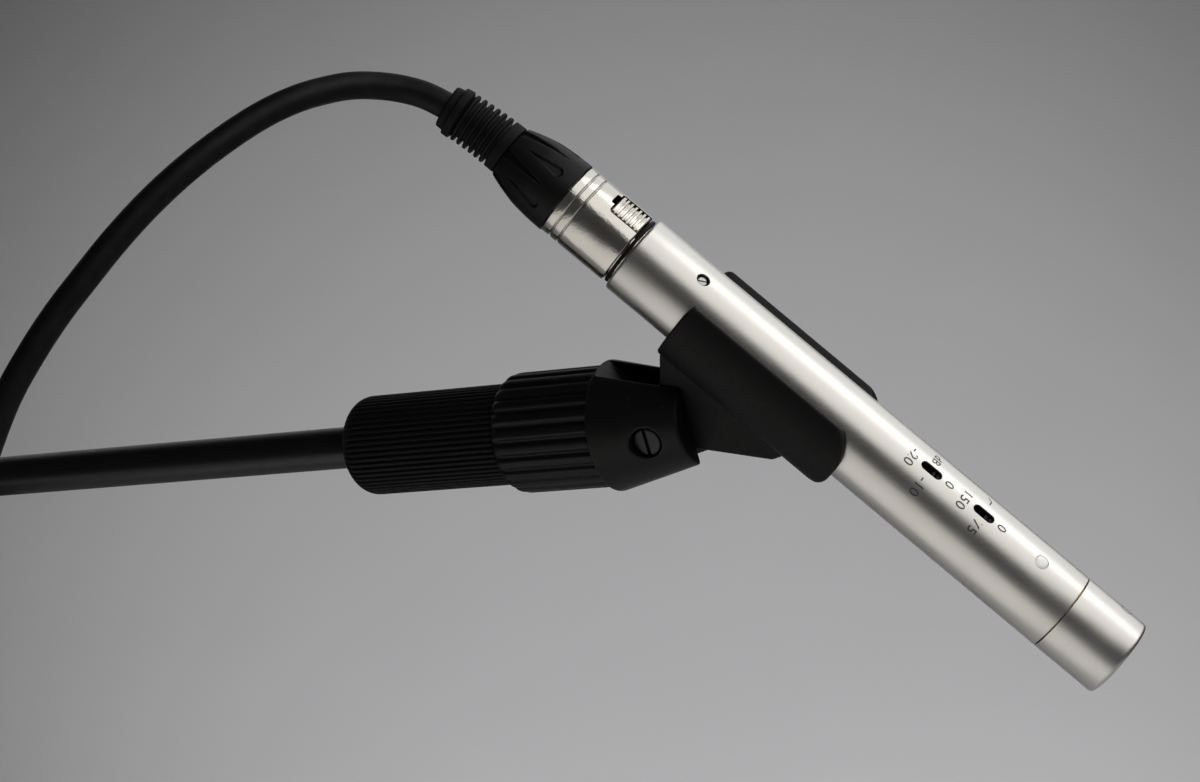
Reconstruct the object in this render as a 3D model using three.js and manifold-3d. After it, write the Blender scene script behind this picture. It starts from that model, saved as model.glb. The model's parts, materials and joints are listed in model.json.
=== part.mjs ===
// A pencil condenser microphone in its stand clip, on the end of a stand's boom rod, with its XLR lead.
// Millimetres. +X runs along the boom rod towards the microphone and +Z is up. The origin is the centre
// of the rod's far end face. The lead's unseen length is coiled, tied and hung on the rod.
import * as THREE from "three";
import { mergeVertices } from "three/addons/utils/BufferGeometryUtils.js";
import Module from "manifold-3d";

const wasm = await Module();
wasm.setup();

// ---------------------------------------------------------------- driving dimensions
const GAP = 0.3; // between pieces that touch, slide or turn on each other
const OVERCUT = 2; // how far a cutter runs past the face it opens

// Boom rod, sleeve and stud. Distances along the rod are measured back from the clip's pivot.
const PIVOT_X = 282; // the clip's pivot, from the rod's far end face
const ROD_R = 5.25;
const ROD_WALL = 1;
const END_PLUG_FLANGE = 1.5;
const END_PLUG_LENGTH = 14;
const SLEEVE_R = 12.4;
const SLEEVE_LENGTH = 45;
const SLEEVE_FILLET = 5;
const SLEEVE_RIBS = 54;
const SLEEVE_RIB_DEPTH = 0.5;
const ROD_IN_SLEEVE = 38; // how far the rod reaches into the sleeve
const STUD_R = 4.76; // 3/8 inch stand thread
const STUD_PITCH = 1.6;
const STUD_SHANK = 14;
const STUD_FLANGE = 2;
const STUD_DEPTH = 13; // how far the stud screws into the clip's base

// Clip base: a ribbed barrel behind a conical yoke
const BASE_ROLL = 25; // degrees that the yoke is turned about the rod
const BARREL_REAR = 41; // behind the pivot
const BARREL_R = 14.7;
const BARREL_RIBS = 24;
const BARREL_RIB_DEPTH = 0.8;
const BARREL_ROUND = 3;
const INSERT_R = 7.95; // 5/8 inch outside thread of the brass insert
const INSERT_LENGTH = 15;
const YOKE_RIM = 13.5; // behind the pivot
const YOKE_RIM_R = 16;
const YOKE_NOSE = 8.5; // in front of the pivot
const YOKE_NOSE_R = 10.8;
const SLOT_WIDTH = 8.5;
const SLOT_FLOOR = 8.4; // behind the pivot
const SLOT_FLOOR_HALF = 9; // half height of the square part of the slot's floor
const SCREW_R = 2;
const SCREW_HEAD_R = 3.5;
const SCREW_HEAD = 2.6;
const NUT_R = 4; // across corners
const NUT_HEIGHT = 2.8;
const FASTENERS_SUNK = 1.2; // below the yoke's outside
const DRIVE_SLOT = 1; // width and depth
const INSERT_PITCH = 2.4;

// Clip
const CLIP_TILT = 40; // degrees from the rod's line to the clip's stem
const STEM = 30.5; // pivot to the microphone's axis
const CLIP_REAR = 18.9; // along the microphone, from its rear rim
const CLIP_FRONT = 68;
const CLIP_OUTER_R = 13.4;
const CLIP_OFFSET = 0.6; // the outside is shifted to the stem side, so that the wall thins to the jaws
const CLIP_HALF_MOUTH = 56; // degrees
const CLIP_JAW_HEIGHT = 7.7; // how far past the microphone's axis the jaws reach
const CLIP_CORNER = 9.5; // the jaws' rounding at the front
const CLIP_REAR_CORNER = 4;
const TONGUE_R = 7.5;
const TONGUE_ARC = [276.3, 86.6]; // degrees, where the web's edges leave the tongue's round end
const WEB_REAR = [[-12, 19.4], [-14, 19.4], [-21, 24]]; // [towards the mouth, along the microphone]
const WEB_FRONT = [[-16.8, 55.7], [-12, 58]];

// Microphone, measured from its rear rim towards the capsule
const STEM_STATION = 30.5; // where the stem meets the microphone
const MIC_R = 10;
const MIC_WALL = 1;
const BODY_LENGTH = 128.6;
const CAPSULE_LENGTH = 17.3;
const RIM_ROUND = 0.8;
const RECEPTACLE_R = 8.3;
const RECEPTACLE_DEPTH = 12;
const RECEPTACLE_INSERT = 8;
const PIN_R = 1.2;
const PIN_CIRCLE = 3.8;
const PIN_ANGLES = [50, -50, 180]; // from the latch
const PIN_PROJECTION = 10.5;
const PIN_TAIL = 3; // behind the insert that holds it
const MARKS_AZIMUTH = 21.3; // degrees from the clip's mouth to the line of the switches
const INSERT_SCREW_STATION = 17;
const INSERT_SCREW_R = 1.2;
const INSERT_SCREW_SUNK = 0.5;
const PAD_STATION = 84.9;
const FILTER_STATION = 100.3;
const SWITCH_SLOT_LENGTH = 5.6;
const SWITCH_SLOT_WIDTH = 2.2;
const SLIDER_LENGTH = 2;
const DOT_STATION = 117.4;
const DOT_R = 1.4;
const DOT_THICKNESS = 0.35;

// Inside the body
const BOARD_REAR = 27;
const BOARD_FRONT = 112;
const BOARD_WIDTH = 14;
const BOARD_THICKNESS = 1.6;
const BOARD_OFFSET = -2; // of its face towards the switches, from the axis
const SWITCH_BODY = [4.8, 5.6, 10]; // height, width, length
const SWITCH_CHANNEL = [2, 2.8]; // depth, width
const TRANSISTOR = [2.9, 5, 68]; // radius, top from the board's face plane, station
const CONVERTER = [3, 5.5, 55]; // radius, top from the board's face plane, station
const CAPACITOR_R = 3;
const CAPACITOR = [34, 46]; // stations of its ends
const FRONT_INSULATOR = [116, 119]; // stations of its two faces
const CONTACT_R = 1;
const PLUNGER_REACH = 5.5; // in front of the insulator

// Capsule
const COLLAR_ENGAGEMENT = 6;
const COLLAR_LENGTH = 9;
const COLLAR_WALL = 1.2;
const COLLAR_PITCH = 1.2;
const CAPSULE_LIP = 1;
const CAPSULE_LIP_R = 7.8;
const GRILLE_THICKNESS = 0.8;
const GRILLE_HOLE_R = 0.8;
const GRILLE_CIRCLES = [[6, 2.9], [12, 5.8]]; // number of holes, radius of their circle
const MEMBRANE = 0.3;
const MEMBRANE_RING = [6.8, 1.5]; // inner radius, thickness
const BACKPLATE = [6.4, 2]; // radius, thickness
const CUP_FLOOR = 2; // of the insulator that holds the backplate

// XLR plug of the lead, measured from the microphone's rear rim away from it
const PLUG_SEAL = [0.25, 1.15];
const PLUG_FACE = 1.45;
const PLUG_SHELL_R = 9.35;
const PLUG_SHELL_LENGTH = 18.3;
const PLUG_BARREL_R = 7.95;
const PLUG_BORE_R = 6.9;
const PLUG_SPIGOT = 7.2;
const PLUG_SPIGOT_WALL = 0.7;
const PLUG_INSERT_REAR = 7;
const PLUG_GROOVES = [13.7, 16]; // from the plug's face
const GROOVE_DEPTH = 0.25;
const SOCKET_LENGTH = 17;
const LATCH_AZIMUTH = 5;
const LATCH_WINDOW = [8, 8.5]; // width, length
const LATCH_THICKNESS = 1.8;
const LATCH_RIBS = 4;
const LATCH_RIB_DEPTH = 0.6;
const CLAMP = [2, 13]; // from the shell's rear face
const BOOT_NUT_LENGTH = 17;
const BOOT_NUT_RADII = [9.5, 9.4, 8.95, 7.8, 6.6]; // from the shell to the sleeve
const BOOT_FLUTES = 6;
const BOOT_FLUTE_SHARE = 0.75; // of the nut's length
const BOOT_SHOULDER = 3.5; // of the nut's narrow rear mouth
const BOOT_SLEEVE_LENGTH = 18.1;
const BOOT_SLEEVE_R = 6.35;
const BOOT_SLEEVE_RINGS = 7;
const BOOT_RING_DEPTH = 1.1;
const BOOT_COLLARS = [2, 3]; // the sleeve's plain front and rear collars
const BOOT_STEP = 0.9; // from the sleeve's outside in to the mouth of the nut
const BOOT_SLEEVE_SPIGOT = 3; // the sleeve's reach into the nut
const BOOT_BEND_R = 110; // the sleeve gives this much to the pull of the lead
const BOOT_BEND_AZIMUTH = 125;

// Lead
const CORD_R = 3.25;
const CORD_BORE_R = CORD_R + 0.5;
const COIL_MEAN_R = 36;
const COIL_PITCH = 6.6;
const COIL_COLUMNS = 4;
const COIL_LAYERS = 3;
const COIL_X = 26;
const TIE_WIDTH = 16;
const TIE_THICKNESS = 1.5;
const TAIL_LENGTH = 42; // hangs below the coil, down to the stage plug's boot
const STAGE_BOOT_TOP = -20; // from the tail's top
const STAGE_SHELL_LENGTH = 30;
const STAGE_SHELL_R = 9.5;

// ---------------------------------------------------------------- materials
function finish(color, roughness, metalness) {
  return new THREE.MeshStandardMaterial({ color, roughness, metalness });
}
const satinNickel = finish(0xcac6bd, 0.35, 1);
const brightNickel = finish(0xd8d4ca, 0.15, 1);
const blackPlastic = finish(0x1b1c1d, 0.55, 0);
const blackPaint = finish(0x151617, 0.4, 0.2);
const blackRubber = finish(0x121314, 0.8, 0);
const steel = finish(0x9a9ca0, 0.3, 1);
const brass = finish(0xb5964f, 0.35, 1);
const gold = finish(0xd7b15c, 0.25, 1);
const board = finish(0x20583a, 0.5, 0);
const enamel = finish(0xf2efe6, 0.35, 0);
const clearPlastic = finish(0xd9d6c8, 0.4, 0);
const hookAndLoop = finish(0x1e1f22, 0.95, 0);

// ---------------------------------------------------------------- solids
const radians = THREE.MathUtils.degToRad;

// A closed three.js geometry as a manifold solid, whichever way its faces were wound.
function solid(geometry) {
  const bare = geometry.clone();
  bare.deleteAttribute("normal");
  bare.deleteAttribute("uv");
  const merged = mergeVertices(bare, 1e-4);
  const index = merged.index.array;
  const build = (flip) => {
    const triVerts = [];
    for (let i = 0; i < index.length; i += 3) {
      const [a, b, c] = flip ? [index[i], index[i + 2], index[i + 1]] : index.slice(i, i + 3);
      if (a !== b && b !== c && c !== a) triVerts.push(a, b, c);
    }
    const mesh = { numProp: 3, vertProperties: merged.attributes.position.array };
    return new wasm.Manifold(new wasm.Mesh({ ...mesh, triVerts: new Uint32Array(triVerts) }));
  };
  const first = build(false);
  return first.volume() > 0 ? first : build(true);
}

function geometryOf(shape) {
  const mesh = shape.getMesh();
  const geometry = new THREE.BufferGeometry();
  geometry.setAttribute("position", new THREE.BufferAttribute(mesh.vertProperties, 3));
  geometry.setIndex(new THREE.BufferAttribute(mesh.triVerts, 1));
  return geometry;
}

function cut(body, ...cutters) {
  return cutters.reduce((left, cutter) => left.subtract(solid(cutter)), body);
}

function join(body, ...others) {
  return others.reduce((sum, other) => sum.add(solid(other)), body);
}

// A round body about Z from a profile of [radius, z] points, closed back to its first point.
function turned(profile, segments) {
  const points = [...profile, profile[0]].map(([r, z]) => new THREE.Vector2(r, z));
  return new THREE.LatheGeometry(points, segments).rotateX(Math.PI / 2);
}

function ring(innerR, outerR, low, high, segments) {
  return turned([[innerR, low], [outerR, low], [outerR, high], [innerR, high]], segments);
}

// A rod about Z between two heights.
function rod(r, low, high, segments) {
  const geometry = new THREE.CylinderGeometry(r, r, high - low, segments).rotateX(Math.PI / 2);
  return geometry.translate(0, 0, (low + high) / 2);
}

function block(low, high) {
  const size = high.map((value, i) => value - low[i]);
  const centre = high.map((value, i) => (value + low[i]) / 2);
  return new THREE.BoxGeometry(...size).translate(...centre);
}

// A flat drawing of [x, y] points, thickened along Z between two heights.
function plate(points, low, high) {
  const shape = new THREE.Shape(points.map(([x, y]) => new THREE.Vector2(x, y)));
  const options = { depth: high - low, bevelEnabled: false };
  return new THREE.ExtrudeGeometry(shape, options).translate(0, 0, low);
}

function arc(cx, cy, r, from, to, steps) {
  return Array.from({ length: steps + 1 }, (_, i) => {
    const angle = radians(from + ((to - from) * i) / steps);
    return [cx + r * Math.cos(angle), cy + r * Math.sin(angle)];
  });
}

// Turns a plate drawn in XY into one drawn in YZ and thickened along X.
const facingX = new THREE.Matrix4().makeBasis(
  new THREE.Vector3(0, 1, 0),
  new THREE.Vector3(0, 0, 1),
  new THREE.Vector3(1, 0, 0),
);
// Turns a plate drawn in XY into one drawn in XZ and thickened along Y.
const facingY = new THREE.Matrix4().makeBasis(
  new THREE.Vector3(1, 0, 0),
  new THREE.Vector3(0, 0, 1),
  new THREE.Vector3(0, -1, 0),
);

// A slot's cutter: long along Z, cut along X, centred at a station of the microphone.
function slotCutter(length, width, station) {
  const half = (length - width) / 2;
  const outline = [...arc(0, half, width / 2, 0, 180, 5), ...arc(0, -half, width / 2, 180, 360, 5)];
  return plate(outline, MIC_R - MIC_WALL - OVERCUT, MIC_R + OVERCUT)
    .applyMatrix4(facingX)
    .translate(0, 0, station);
}

// Ridges of a thread as plain rings: [radius, z] points from one height to another.
function threadRidges(r, from, to, pitch) {
  const turns = Math.floor(Math.abs(to - from) / pitch);
  const step = (to - from) / turns;
  return Array.from({ length: turns }, (_, i) => [
    [r, from + step * (i + 0.2)],
    [r - pitch * 0.4, from + step * (i + 0.7)],
  ]).flat();
}

// Presses ribs into a turned body: every second segment line is drawn in where the surface lies
// between two heights and outside a radius.
function ribbed(geometry, ribs, depth, [low, high], outside) {
  const position = geometry.getAttribute("position");
  const point = new THREE.Vector3();
  for (let i = 0; i < position.count; i += 1) {
    point.fromBufferAttribute(position, i);
    const r = Math.hypot(point.x, point.y);
    const line = Math.round((Math.atan2(point.y, point.x) / Math.PI) * ribs);
    if (r < outside || point.z < low || point.z > high || line % 2 === 0) continue;
    const pressed = (r - depth) / r;
    position.setXYZ(i, point.x * pressed, point.y * pressed, point.z);
  }
  return geometry;
}

// ---------------------------------------------------------------- scene graph
const microphone = new THREE.Group();
const rodLine = new THREE.Group(); // its +Z runs along the rod, from the rod's far end
rodLine.rotation.y = Math.PI / 2;
microphone.add(rodLine);
const yokeFrame = new THREE.Group(); // at the pivot: +X along the rod, +Y along the pivot screw
yokeFrame.position.x = PIVOT_X;
yokeFrame.rotation.x = radians(BASE_ROLL);
microphone.add(yokeFrame);
const stemFrame = new THREE.Group(); // +X up the clip's stem
stemFrame.rotation.y = -radians(CLIP_TILT);
yokeFrame.add(stemFrame);
const micFrame = new THREE.Group(); // +Z along the microphone to its capsule, +X out of the clip's mouth
micFrame.name = "mic_frame";
micFrame.position.set(STEM, 0, STEM_STATION);
micFrame.rotation.x = Math.PI;
stemFrame.add(micFrame);
const marksFrame = new THREE.Group(); // +X out through the switches
marksFrame.rotation.z = radians(MARKS_AZIMUTH);
micFrame.add(marksFrame);
const plugFrame = new THREE.Group(); // +Z back along the lead, +X out through the latch
plugFrame.rotation.set(Math.PI, 0, radians(LATCH_AZIMUTH), "ZXY");
micFrame.add(plugFrame);
const stageFrame = new THREE.Group(); // the plug on the lead's other end, +Z up its hanging tail
microphone.add(stageFrame);

function piece(parent, name, material, shape) {
  const mesh = new THREE.Mesh(geometryOf(shape), material);
  mesh.name = name;
  parent.add(mesh);
}

// ---------------------------------------------------------------- boom rod and its fittings
function boomRod() {
  const rodEnd = PIVOT_X - BARREL_REAR - GAP - SLEEVE_LENGTH + ROD_IN_SLEEVE;
  const rodStart = END_PLUG_FLANGE + GAP;
  const bore = ROD_R - ROD_WALL;
  piece(rodLine, "boom_rod", blackPaint, solid(ring(bore, ROD_R, rodStart, rodEnd, 24)));

  const plugProfile = [
    [0, 0],
    [ROD_R, 0],
    [ROD_R, END_PLUG_FLANGE],
    [bore - GAP, END_PLUG_FLANGE],
    [bore - GAP, END_PLUG_LENGTH],
    [0, END_PLUG_LENGTH],
  ];
  piece(rodLine, "rod_end_plug", blackPlastic, solid(turned(plugProfile, 24)));

  const flangeRear = rodEnd + GAP;
  const threadStart = flangeRear + STUD_FLANGE;
  const studEnd = PIVOT_X - BARREL_REAR + STUD_DEPTH;
  const studProfile = [
    [0, rodEnd - STUD_SHANK],
    [bore - GAP, rodEnd - STUD_SHANK],
    [bore - GAP, flangeRear],
    [ROD_R, flangeRear],
    [ROD_R, threadStart],
    ...threadRidges(STUD_R, threadStart + STUD_PITCH, studEnd - STUD_PITCH, STUD_PITCH),
    [STUD_R - STUD_PITCH / 2, studEnd],
    [0, studEnd],
  ];
  piece(rodLine, "stand_stud", steel, solid(turned(studProfile, 14)));

  const sleeveFront = PIVOT_X - BARREL_REAR - GAP;
  const sleeveRear = sleeveFront - SLEEVE_LENGTH;
  const sleeveBore = ROD_R + GAP + 0.05;
  const fillet = arc(SLEEVE_R - SLEEVE_FILLET, sleeveRear + SLEEVE_FILLET, SLEEVE_FILLET, -90, 0, 3);
  const sleeveProfile = [
    [sleeveBore, sleeveRear],
    ...fillet,
    [SLEEVE_R, sleeveFront],
    [sleeveBore, sleeveFront],
  ];
  const ribSpan = [sleeveRear + SLEEVE_FILLET / 4, sleeveFront + 1];
  const ribs = [SLEEVE_RIBS, SLEEVE_RIB_DEPTH, ribSpan, SLEEVE_R - SLEEVE_FILLET / 2];
  const sleeve = ribbed(turned(sleeveProfile, SLEEVE_RIBS * 2), ...ribs);
  piece(rodLine, "boom_sleeve", blackRubber, solid(sleeve));
}

// ---------------------------------------------------------------- clip base
// In these functions z is the distance in front of the pivot, until alongRod turns it to the rod.
function alongRod(geometry) {
  return geometry.rotateY(Math.PI / 2);
}

function clipBase() {
  const roundStart = -BARREL_REAR + BARREL_ROUND;
  const boreR = INSERT_R + GAP;
  const boreFloor = -BARREL_REAR + INSERT_LENGTH + 2 * GAP;
  const barrelProfile = [
    [boreR, -BARREL_REAR],
    [BARREL_R - BARREL_ROUND, -BARREL_REAR],
    [BARREL_R - BARREL_ROUND * 0.3, -BARREL_REAR + BARREL_ROUND * 0.3],
    [BARREL_R, roundStart],
    [BARREL_R, -YOKE_RIM + 1],
    [0, -YOKE_RIM + 1],
    [0, boreFloor],
    [boreR, boreFloor],
  ];
  const barrel = turned(barrelProfile, BARREL_RIBS * 2);
  const ribSpan = [-BARREL_REAR + 0.1, -YOKE_RIM + 2];
  ribbed(barrel, BARREL_RIBS, BARREL_RIB_DEPTH, ribSpan, BARREL_R - 1);
  const yoke = turned(
    [[0, -YOKE_RIM], [YOKE_RIM_R, -YOKE_RIM], [YOKE_NOSE_R, YOKE_NOSE], [0, YOKE_NOSE]],
    40,
  );
  // The slot's ends slant back to the rim, so that the stem can fold up or down along the base.
  const reach = YOKE_RIM_R + OVERCUT;
  const slotOutline = [
    [YOKE_NOSE + OVERCUT, -reach],
    [YOKE_NOSE + OVERCUT, reach],
    [-YOKE_RIM - 0.01, reach],
    [-YOKE_RIM - 0.01, YOKE_RIM_R],
    [-SLOT_FLOOR, SLOT_FLOOR_HALF],
    [-SLOT_FLOOR, -SLOT_FLOOR_HALF],
    [-YOKE_RIM - 0.01, -YOKE_RIM_R],
    [-YOKE_RIM - 0.01, -reach],
  ];
  const slot = plate(slotOutline, -SLOT_WIDTH / 2, SLOT_WIDTH / 2).applyMatrix4(facingY);
  // Cutters along the pivot are drawn along Z and turned to Y: +Z becomes -Y, the screw head's side.
  const alongPivot = (geometry) => geometry.rotateX(Math.PI / 2);
  const hole = alongPivot(rod(SCREW_R + GAP, -reach, reach, 12));
  const headSeat = alongPivot(rod(SCREW_HEAD_R + GAP, screwHeadSeat() - GAP, reach, 20));
  const nutSeat = alongPivot(rod(NUT_R + GAP, -reach, -nutSeatDepth() + GAP, 6));
  const shape = cut(join(solid(alongRod(barrel)), alongRod(yoke)), slot, hole, headSeat, nutSeat);
  piece(yokeFrame, "clip_base", blackPlastic, shape);

  const insertProfile = [
    [STUD_R + GAP, -BARREL_REAR + GAP],
    [INSERT_R, -BARREL_REAR + GAP],
    ...threadRidges(INSERT_R, -BARREL_REAR + 2, -BARREL_REAR + INSERT_LENGTH - 1, INSERT_PITCH),
    [INSERT_R - 1, -BARREL_REAR + GAP + INSERT_LENGTH],
    [STUD_R + GAP, -BARREL_REAR + GAP + INSERT_LENGTH],
  ];
  piece(yokeFrame, "base_thread_insert", brass, solid(alongRod(turned(insertProfile, 18))));

  const screwEnd = -nutSeatDepth() - NUT_HEIGHT + GAP;
  const headFace = screwHeadSeat() + SCREW_HEAD;
  const head = rod(SCREW_HEAD_R, screwHeadSeat(), headFace, 20);
  const shank = rod(SCREW_R, screwEnd, screwHeadSeat() + GAP, 12);
  const driveSlot = block(
    [-SCREW_HEAD_R - 1, -DRIVE_SLOT / 2, headFace - DRIVE_SLOT],
    [SCREW_HEAD_R + 1, DRIVE_SLOT / 2, headFace + 1],
  );
  const screw = cut(join(solid(shank), head), driveSlot);
  piece(yokeFrame, "pivot_screw", blackPaint, solid(alongPivot(geometryOf(screw))));
  const nutBottom = -nutSeatDepth() - NUT_HEIGHT;
  const nut = cut(solid(rod(NUT_R, nutBottom, -nutSeatDepth(), 6)), rod(SCREW_R + GAP, -reach, 0, 12));
  piece(yokeFrame, "pivot_nut", blackPaint, solid(alongPivot(geometryOf(nut))));
}

// The yoke's outside at the pivot, from which the screw's head and the nut are sunk.
function yokeRAtPivot() {
  return YOKE_NOSE_R + ((YOKE_RIM_R - YOKE_NOSE_R) * YOKE_NOSE) / (YOKE_RIM + YOKE_NOSE);
}
function screwHeadSeat() {
  return yokeRAtPivot() - SCREW_HEAD - FASTENERS_SUNK;
}
function nutSeatDepth() {
  return yokeRAtPivot() - NUT_HEIGHT - FASTENERS_SUNK;
}

// ---------------------------------------------------------------- clip
function clip() {
  const innerR = MIC_R + GAP;
  const mouth = CLIP_HALF_MOUTH;
  const section = [
    ...arc(-CLIP_OFFSET, 0, CLIP_OUTER_R, mouth, 360 - mouth, 24),
    ...arc(0, 0, innerR, 360 - mouth, mouth, 24),
  ];
  const c = solid(plate(section, CLIP_REAR - 1, CLIP_FRONT + 1));
  // The side view: the jaws' free corners are rounded, and so is the stem side's front.
  const low = -CLIP_OUTER_R - CLIP_OFFSET - 0.4;
  const high = CLIP_JAW_HEIGHT;
  const r = CLIP_CORNER;
  const rearR = CLIP_REAR_CORNER;
  const side = [
    ...arc(low + rearR, CLIP_REAR + rearR, rearR, 180, 270, 3),
    ...arc(high - rearR, CLIP_REAR + rearR, rearR, 270, 360, 3),
    ...arc(high - r, CLIP_FRONT - r, r, 0, 90, 6),
    ...arc(low + r, CLIP_FRONT - r, r, 90, 180, 6),
  ];
  const reach = CLIP_OUTER_R + OVERCUT;
  const rounded = c.intersect(solid(plate(side, -reach, reach).applyMatrix4(facingY)));
  const tongue = arc(-STEM, STEM_STATION, TONGUE_R, ...TONGUE_ARC, 12);
  const web = plate([...WEB_REAR, ...tongue, ...WEB_FRONT], -SLOT_WIDTH / 2 + GAP, SLOT_WIDTH / 2 - GAP)
    .applyMatrix4(facingY);
  const hole = rod(SCREW_R + GAP, -reach, reach, 12)
    .rotateX(Math.PI / 2)
    .translate(-STEM, 0, STEM_STATION);
  const bore = rod(innerR, CLIP_REAR - OVERCUT, CLIP_FRONT + OVERCUT, 48);
  piece(micFrame, "clip_body", blackPlastic, cut(join(rounded, web), hole, bore));
}

// ---------------------------------------------------------------- microphone body
function micBody() {
  const bore = MIC_R - MIC_WALL;
  const shelf = RECEPTACLE_DEPTH + RECEPTACLE_INSERT + 1;
  const profile = [
    [RECEPTACLE_R, 0],
    [MIC_R - RIM_ROUND, 0],
    [MIC_R - RIM_ROUND * 0.3, RIM_ROUND * 0.3],
    [MIC_R, RIM_ROUND],
    [MIC_R, BODY_LENGTH],
    [bore, BODY_LENGTH],
    [bore, shelf],
    [RECEPTACLE_R, shelf],
  ];
  const marks = [
    slotCutter(SWITCH_SLOT_LENGTH, SWITCH_SLOT_WIDTH, PAD_STATION),
    slotCutter(SWITCH_SLOT_LENGTH, SWITCH_SLOT_WIDTH, FILTER_STATION),
    rod(INSERT_SCREW_R + GAP, RECEPTACLE_R - 1, MIC_R + 1, 12)
      .rotateY(Math.PI / 2)
      .translate(0, 0, INSERT_SCREW_STATION),
    rod(DOT_R + GAP, MIC_R - DOT_THICKNESS - GAP, MIC_R + 1, 16)
      .rotateY(Math.PI / 2)
      .translate(0, 0, DOT_STATION),
  ];
  const shape = cut(solid(turned(profile, 40).rotateZ(radians(-MARKS_AZIMUTH))), ...marks);
  piece(marksFrame, "mic_body", satinNickel, shape);
  const dot = rod(DOT_R, MIC_R - DOT_THICKNESS, MIC_R, 12)
    .rotateY(Math.PI / 2)
    .translate(0, 0, DOT_STATION);
  piece(marksFrame, "marker_dot", enamel, solid(dot));
  const screw = rod(INSERT_SCREW_R, RECEPTACLE_R, MIC_R - INSERT_SCREW_SUNK, 10)
    .rotateY(Math.PI / 2)
    .translate(0, 0, INSERT_SCREW_STATION);
  piece(marksFrame, "insert_screw", steel, solid(screw));
}

// Places of the three contacts, as [x, y] in a frame whose +X is the latch's side.
const contacts = PIN_ANGLES.map((angle) => {
  const turn = radians(angle);
  return [PIN_CIRCLE * Math.cos(turn), PIN_CIRCLE * Math.sin(turn)];
});

// The microphone's own three-pin connector. In the plug's frame z is negative inside the microphone.
function micConnector() {
  const face = -RECEPTACLE_DEPTH;
  const back = face - RECEPTACLE_INSERT;
  const hole = rod(PIN_R + GAP, back - 1, face + 1, 10);
  const holes = contacts.map(([x, y]) => hole.clone().translate(x, y, 0));
  const insert = cut(solid(rod(RECEPTACLE_R - GAP, back, face, 24)), ...holes);
  piece(plugFrame, "xlr_insert", blackPlastic, insert);
  contacts.forEach(([x, y], i) => {
    const pin = rod(PIN_R, back - PIN_TAIL, face + PIN_PROJECTION, 10).translate(x, y, 0);
    piece(plugFrame, `xlr_pin_${i + 1}`, gold, solid(pin));
  });
}

function circuit() {
  const half = BOARD_WIDTH / 2;
  const boardBack = BOARD_OFFSET - BOARD_THICKNESS;
  const boardSolid = solid(block([boardBack, -half, BOARD_REAR], [BOARD_OFFSET, half, BOARD_FRONT]));
  piece(marksFrame, "circuit_board", board, boardSolid);
  const [height, width, length] = SWITCH_BODY;
  const foot = BOARD_OFFSET + GAP;
  const [channelDepth, channelWidth] = SWITCH_CHANNEL;
  const channel = SWITCH_SLOT_LENGTH + 1;
  const stations = { pad: PAD_STATION, filter: FILTER_STATION };
  for (const [name, station] of Object.entries(stations)) {
    const around = (reach) => [station - reach, station + reach];
    const [low, high] = around(length / 2);
    const [channelLow, channelHigh] = around(channel / 2);
    const top = foot + height;
    const housing = block([foot, -width / 2, low], [top, width / 2, high]);
    const well = block(
      [top - channelDepth, -channelWidth / 2, channelLow],
      [top + 1, channelWidth / 2, channelHigh],
    );
    piece(marksFrame, `${name}_switch_body`, blackPlastic, cut(solid(housing), well));
    // The slider rests at the slot's front end.
    const travelEnd = station + SWITCH_SLOT_LENGTH / 2 - GAP;
    const knob = block(
      [top - channelDepth + GAP, -SWITCH_SLOT_WIDTH / 2 + GAP, travelEnd - SLIDER_LENGTH],
      [MIC_R - MIC_WALL * 0.8, SWITCH_SLOT_WIDTH / 2 - GAP, travelEnd],
    );
    piece(marksFrame, `${name}_slider`, blackPlastic, solid(knob));
  }
  const standing = ([r, top, station]) => {
    return solid(rod(r, foot, BOARD_OFFSET + top, 12).rotateY(Math.PI / 2).translate(0, 0, station));
  };
  piece(marksFrame, "output_transistor", steel, standing(TRANSISTOR));
  piece(marksFrame, "converter_coil", blackPlastic, standing(CONVERTER));
  const capacitor = rod(CAPACITOR_R, ...CAPACITOR, 12).translate(foot + CAPACITOR_R, 0, 0);
  piece(marksFrame, "output_capacitor", steel, solid(capacitor));
}

// ---------------------------------------------------------------- capsule
function frontContact() {
  const [low, high] = FRONT_INSULATOR;
  const hole = rod(CONTACT_R + GAP, low - 1, high + 1, 10);
  const disc = cut(solid(rod(MIC_R - MIC_WALL - GAP, low, high, 24)), hole);
  piece(micFrame, "front_insulator", clearPlastic, disc);
  // A sprung plunger that reaches out to the capsule's contact.
  const plunger = [
    [0, low - 2],
    [CONTACT_R, low - 2],
    [CONTACT_R, high + GAP],
    [CONTACT_R * 2, high + GAP],
    [CONTACT_R * 2, high + 1],
    [CONTACT_R, high + 1.5],
    [CONTACT_R, high + PLUNGER_REACH - CONTACT_R / 2],
    [0, high + PLUNGER_REACH],
  ];
  piece(micFrame, "contact_spring", gold, solid(turned(plunger, 12)));
}

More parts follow.
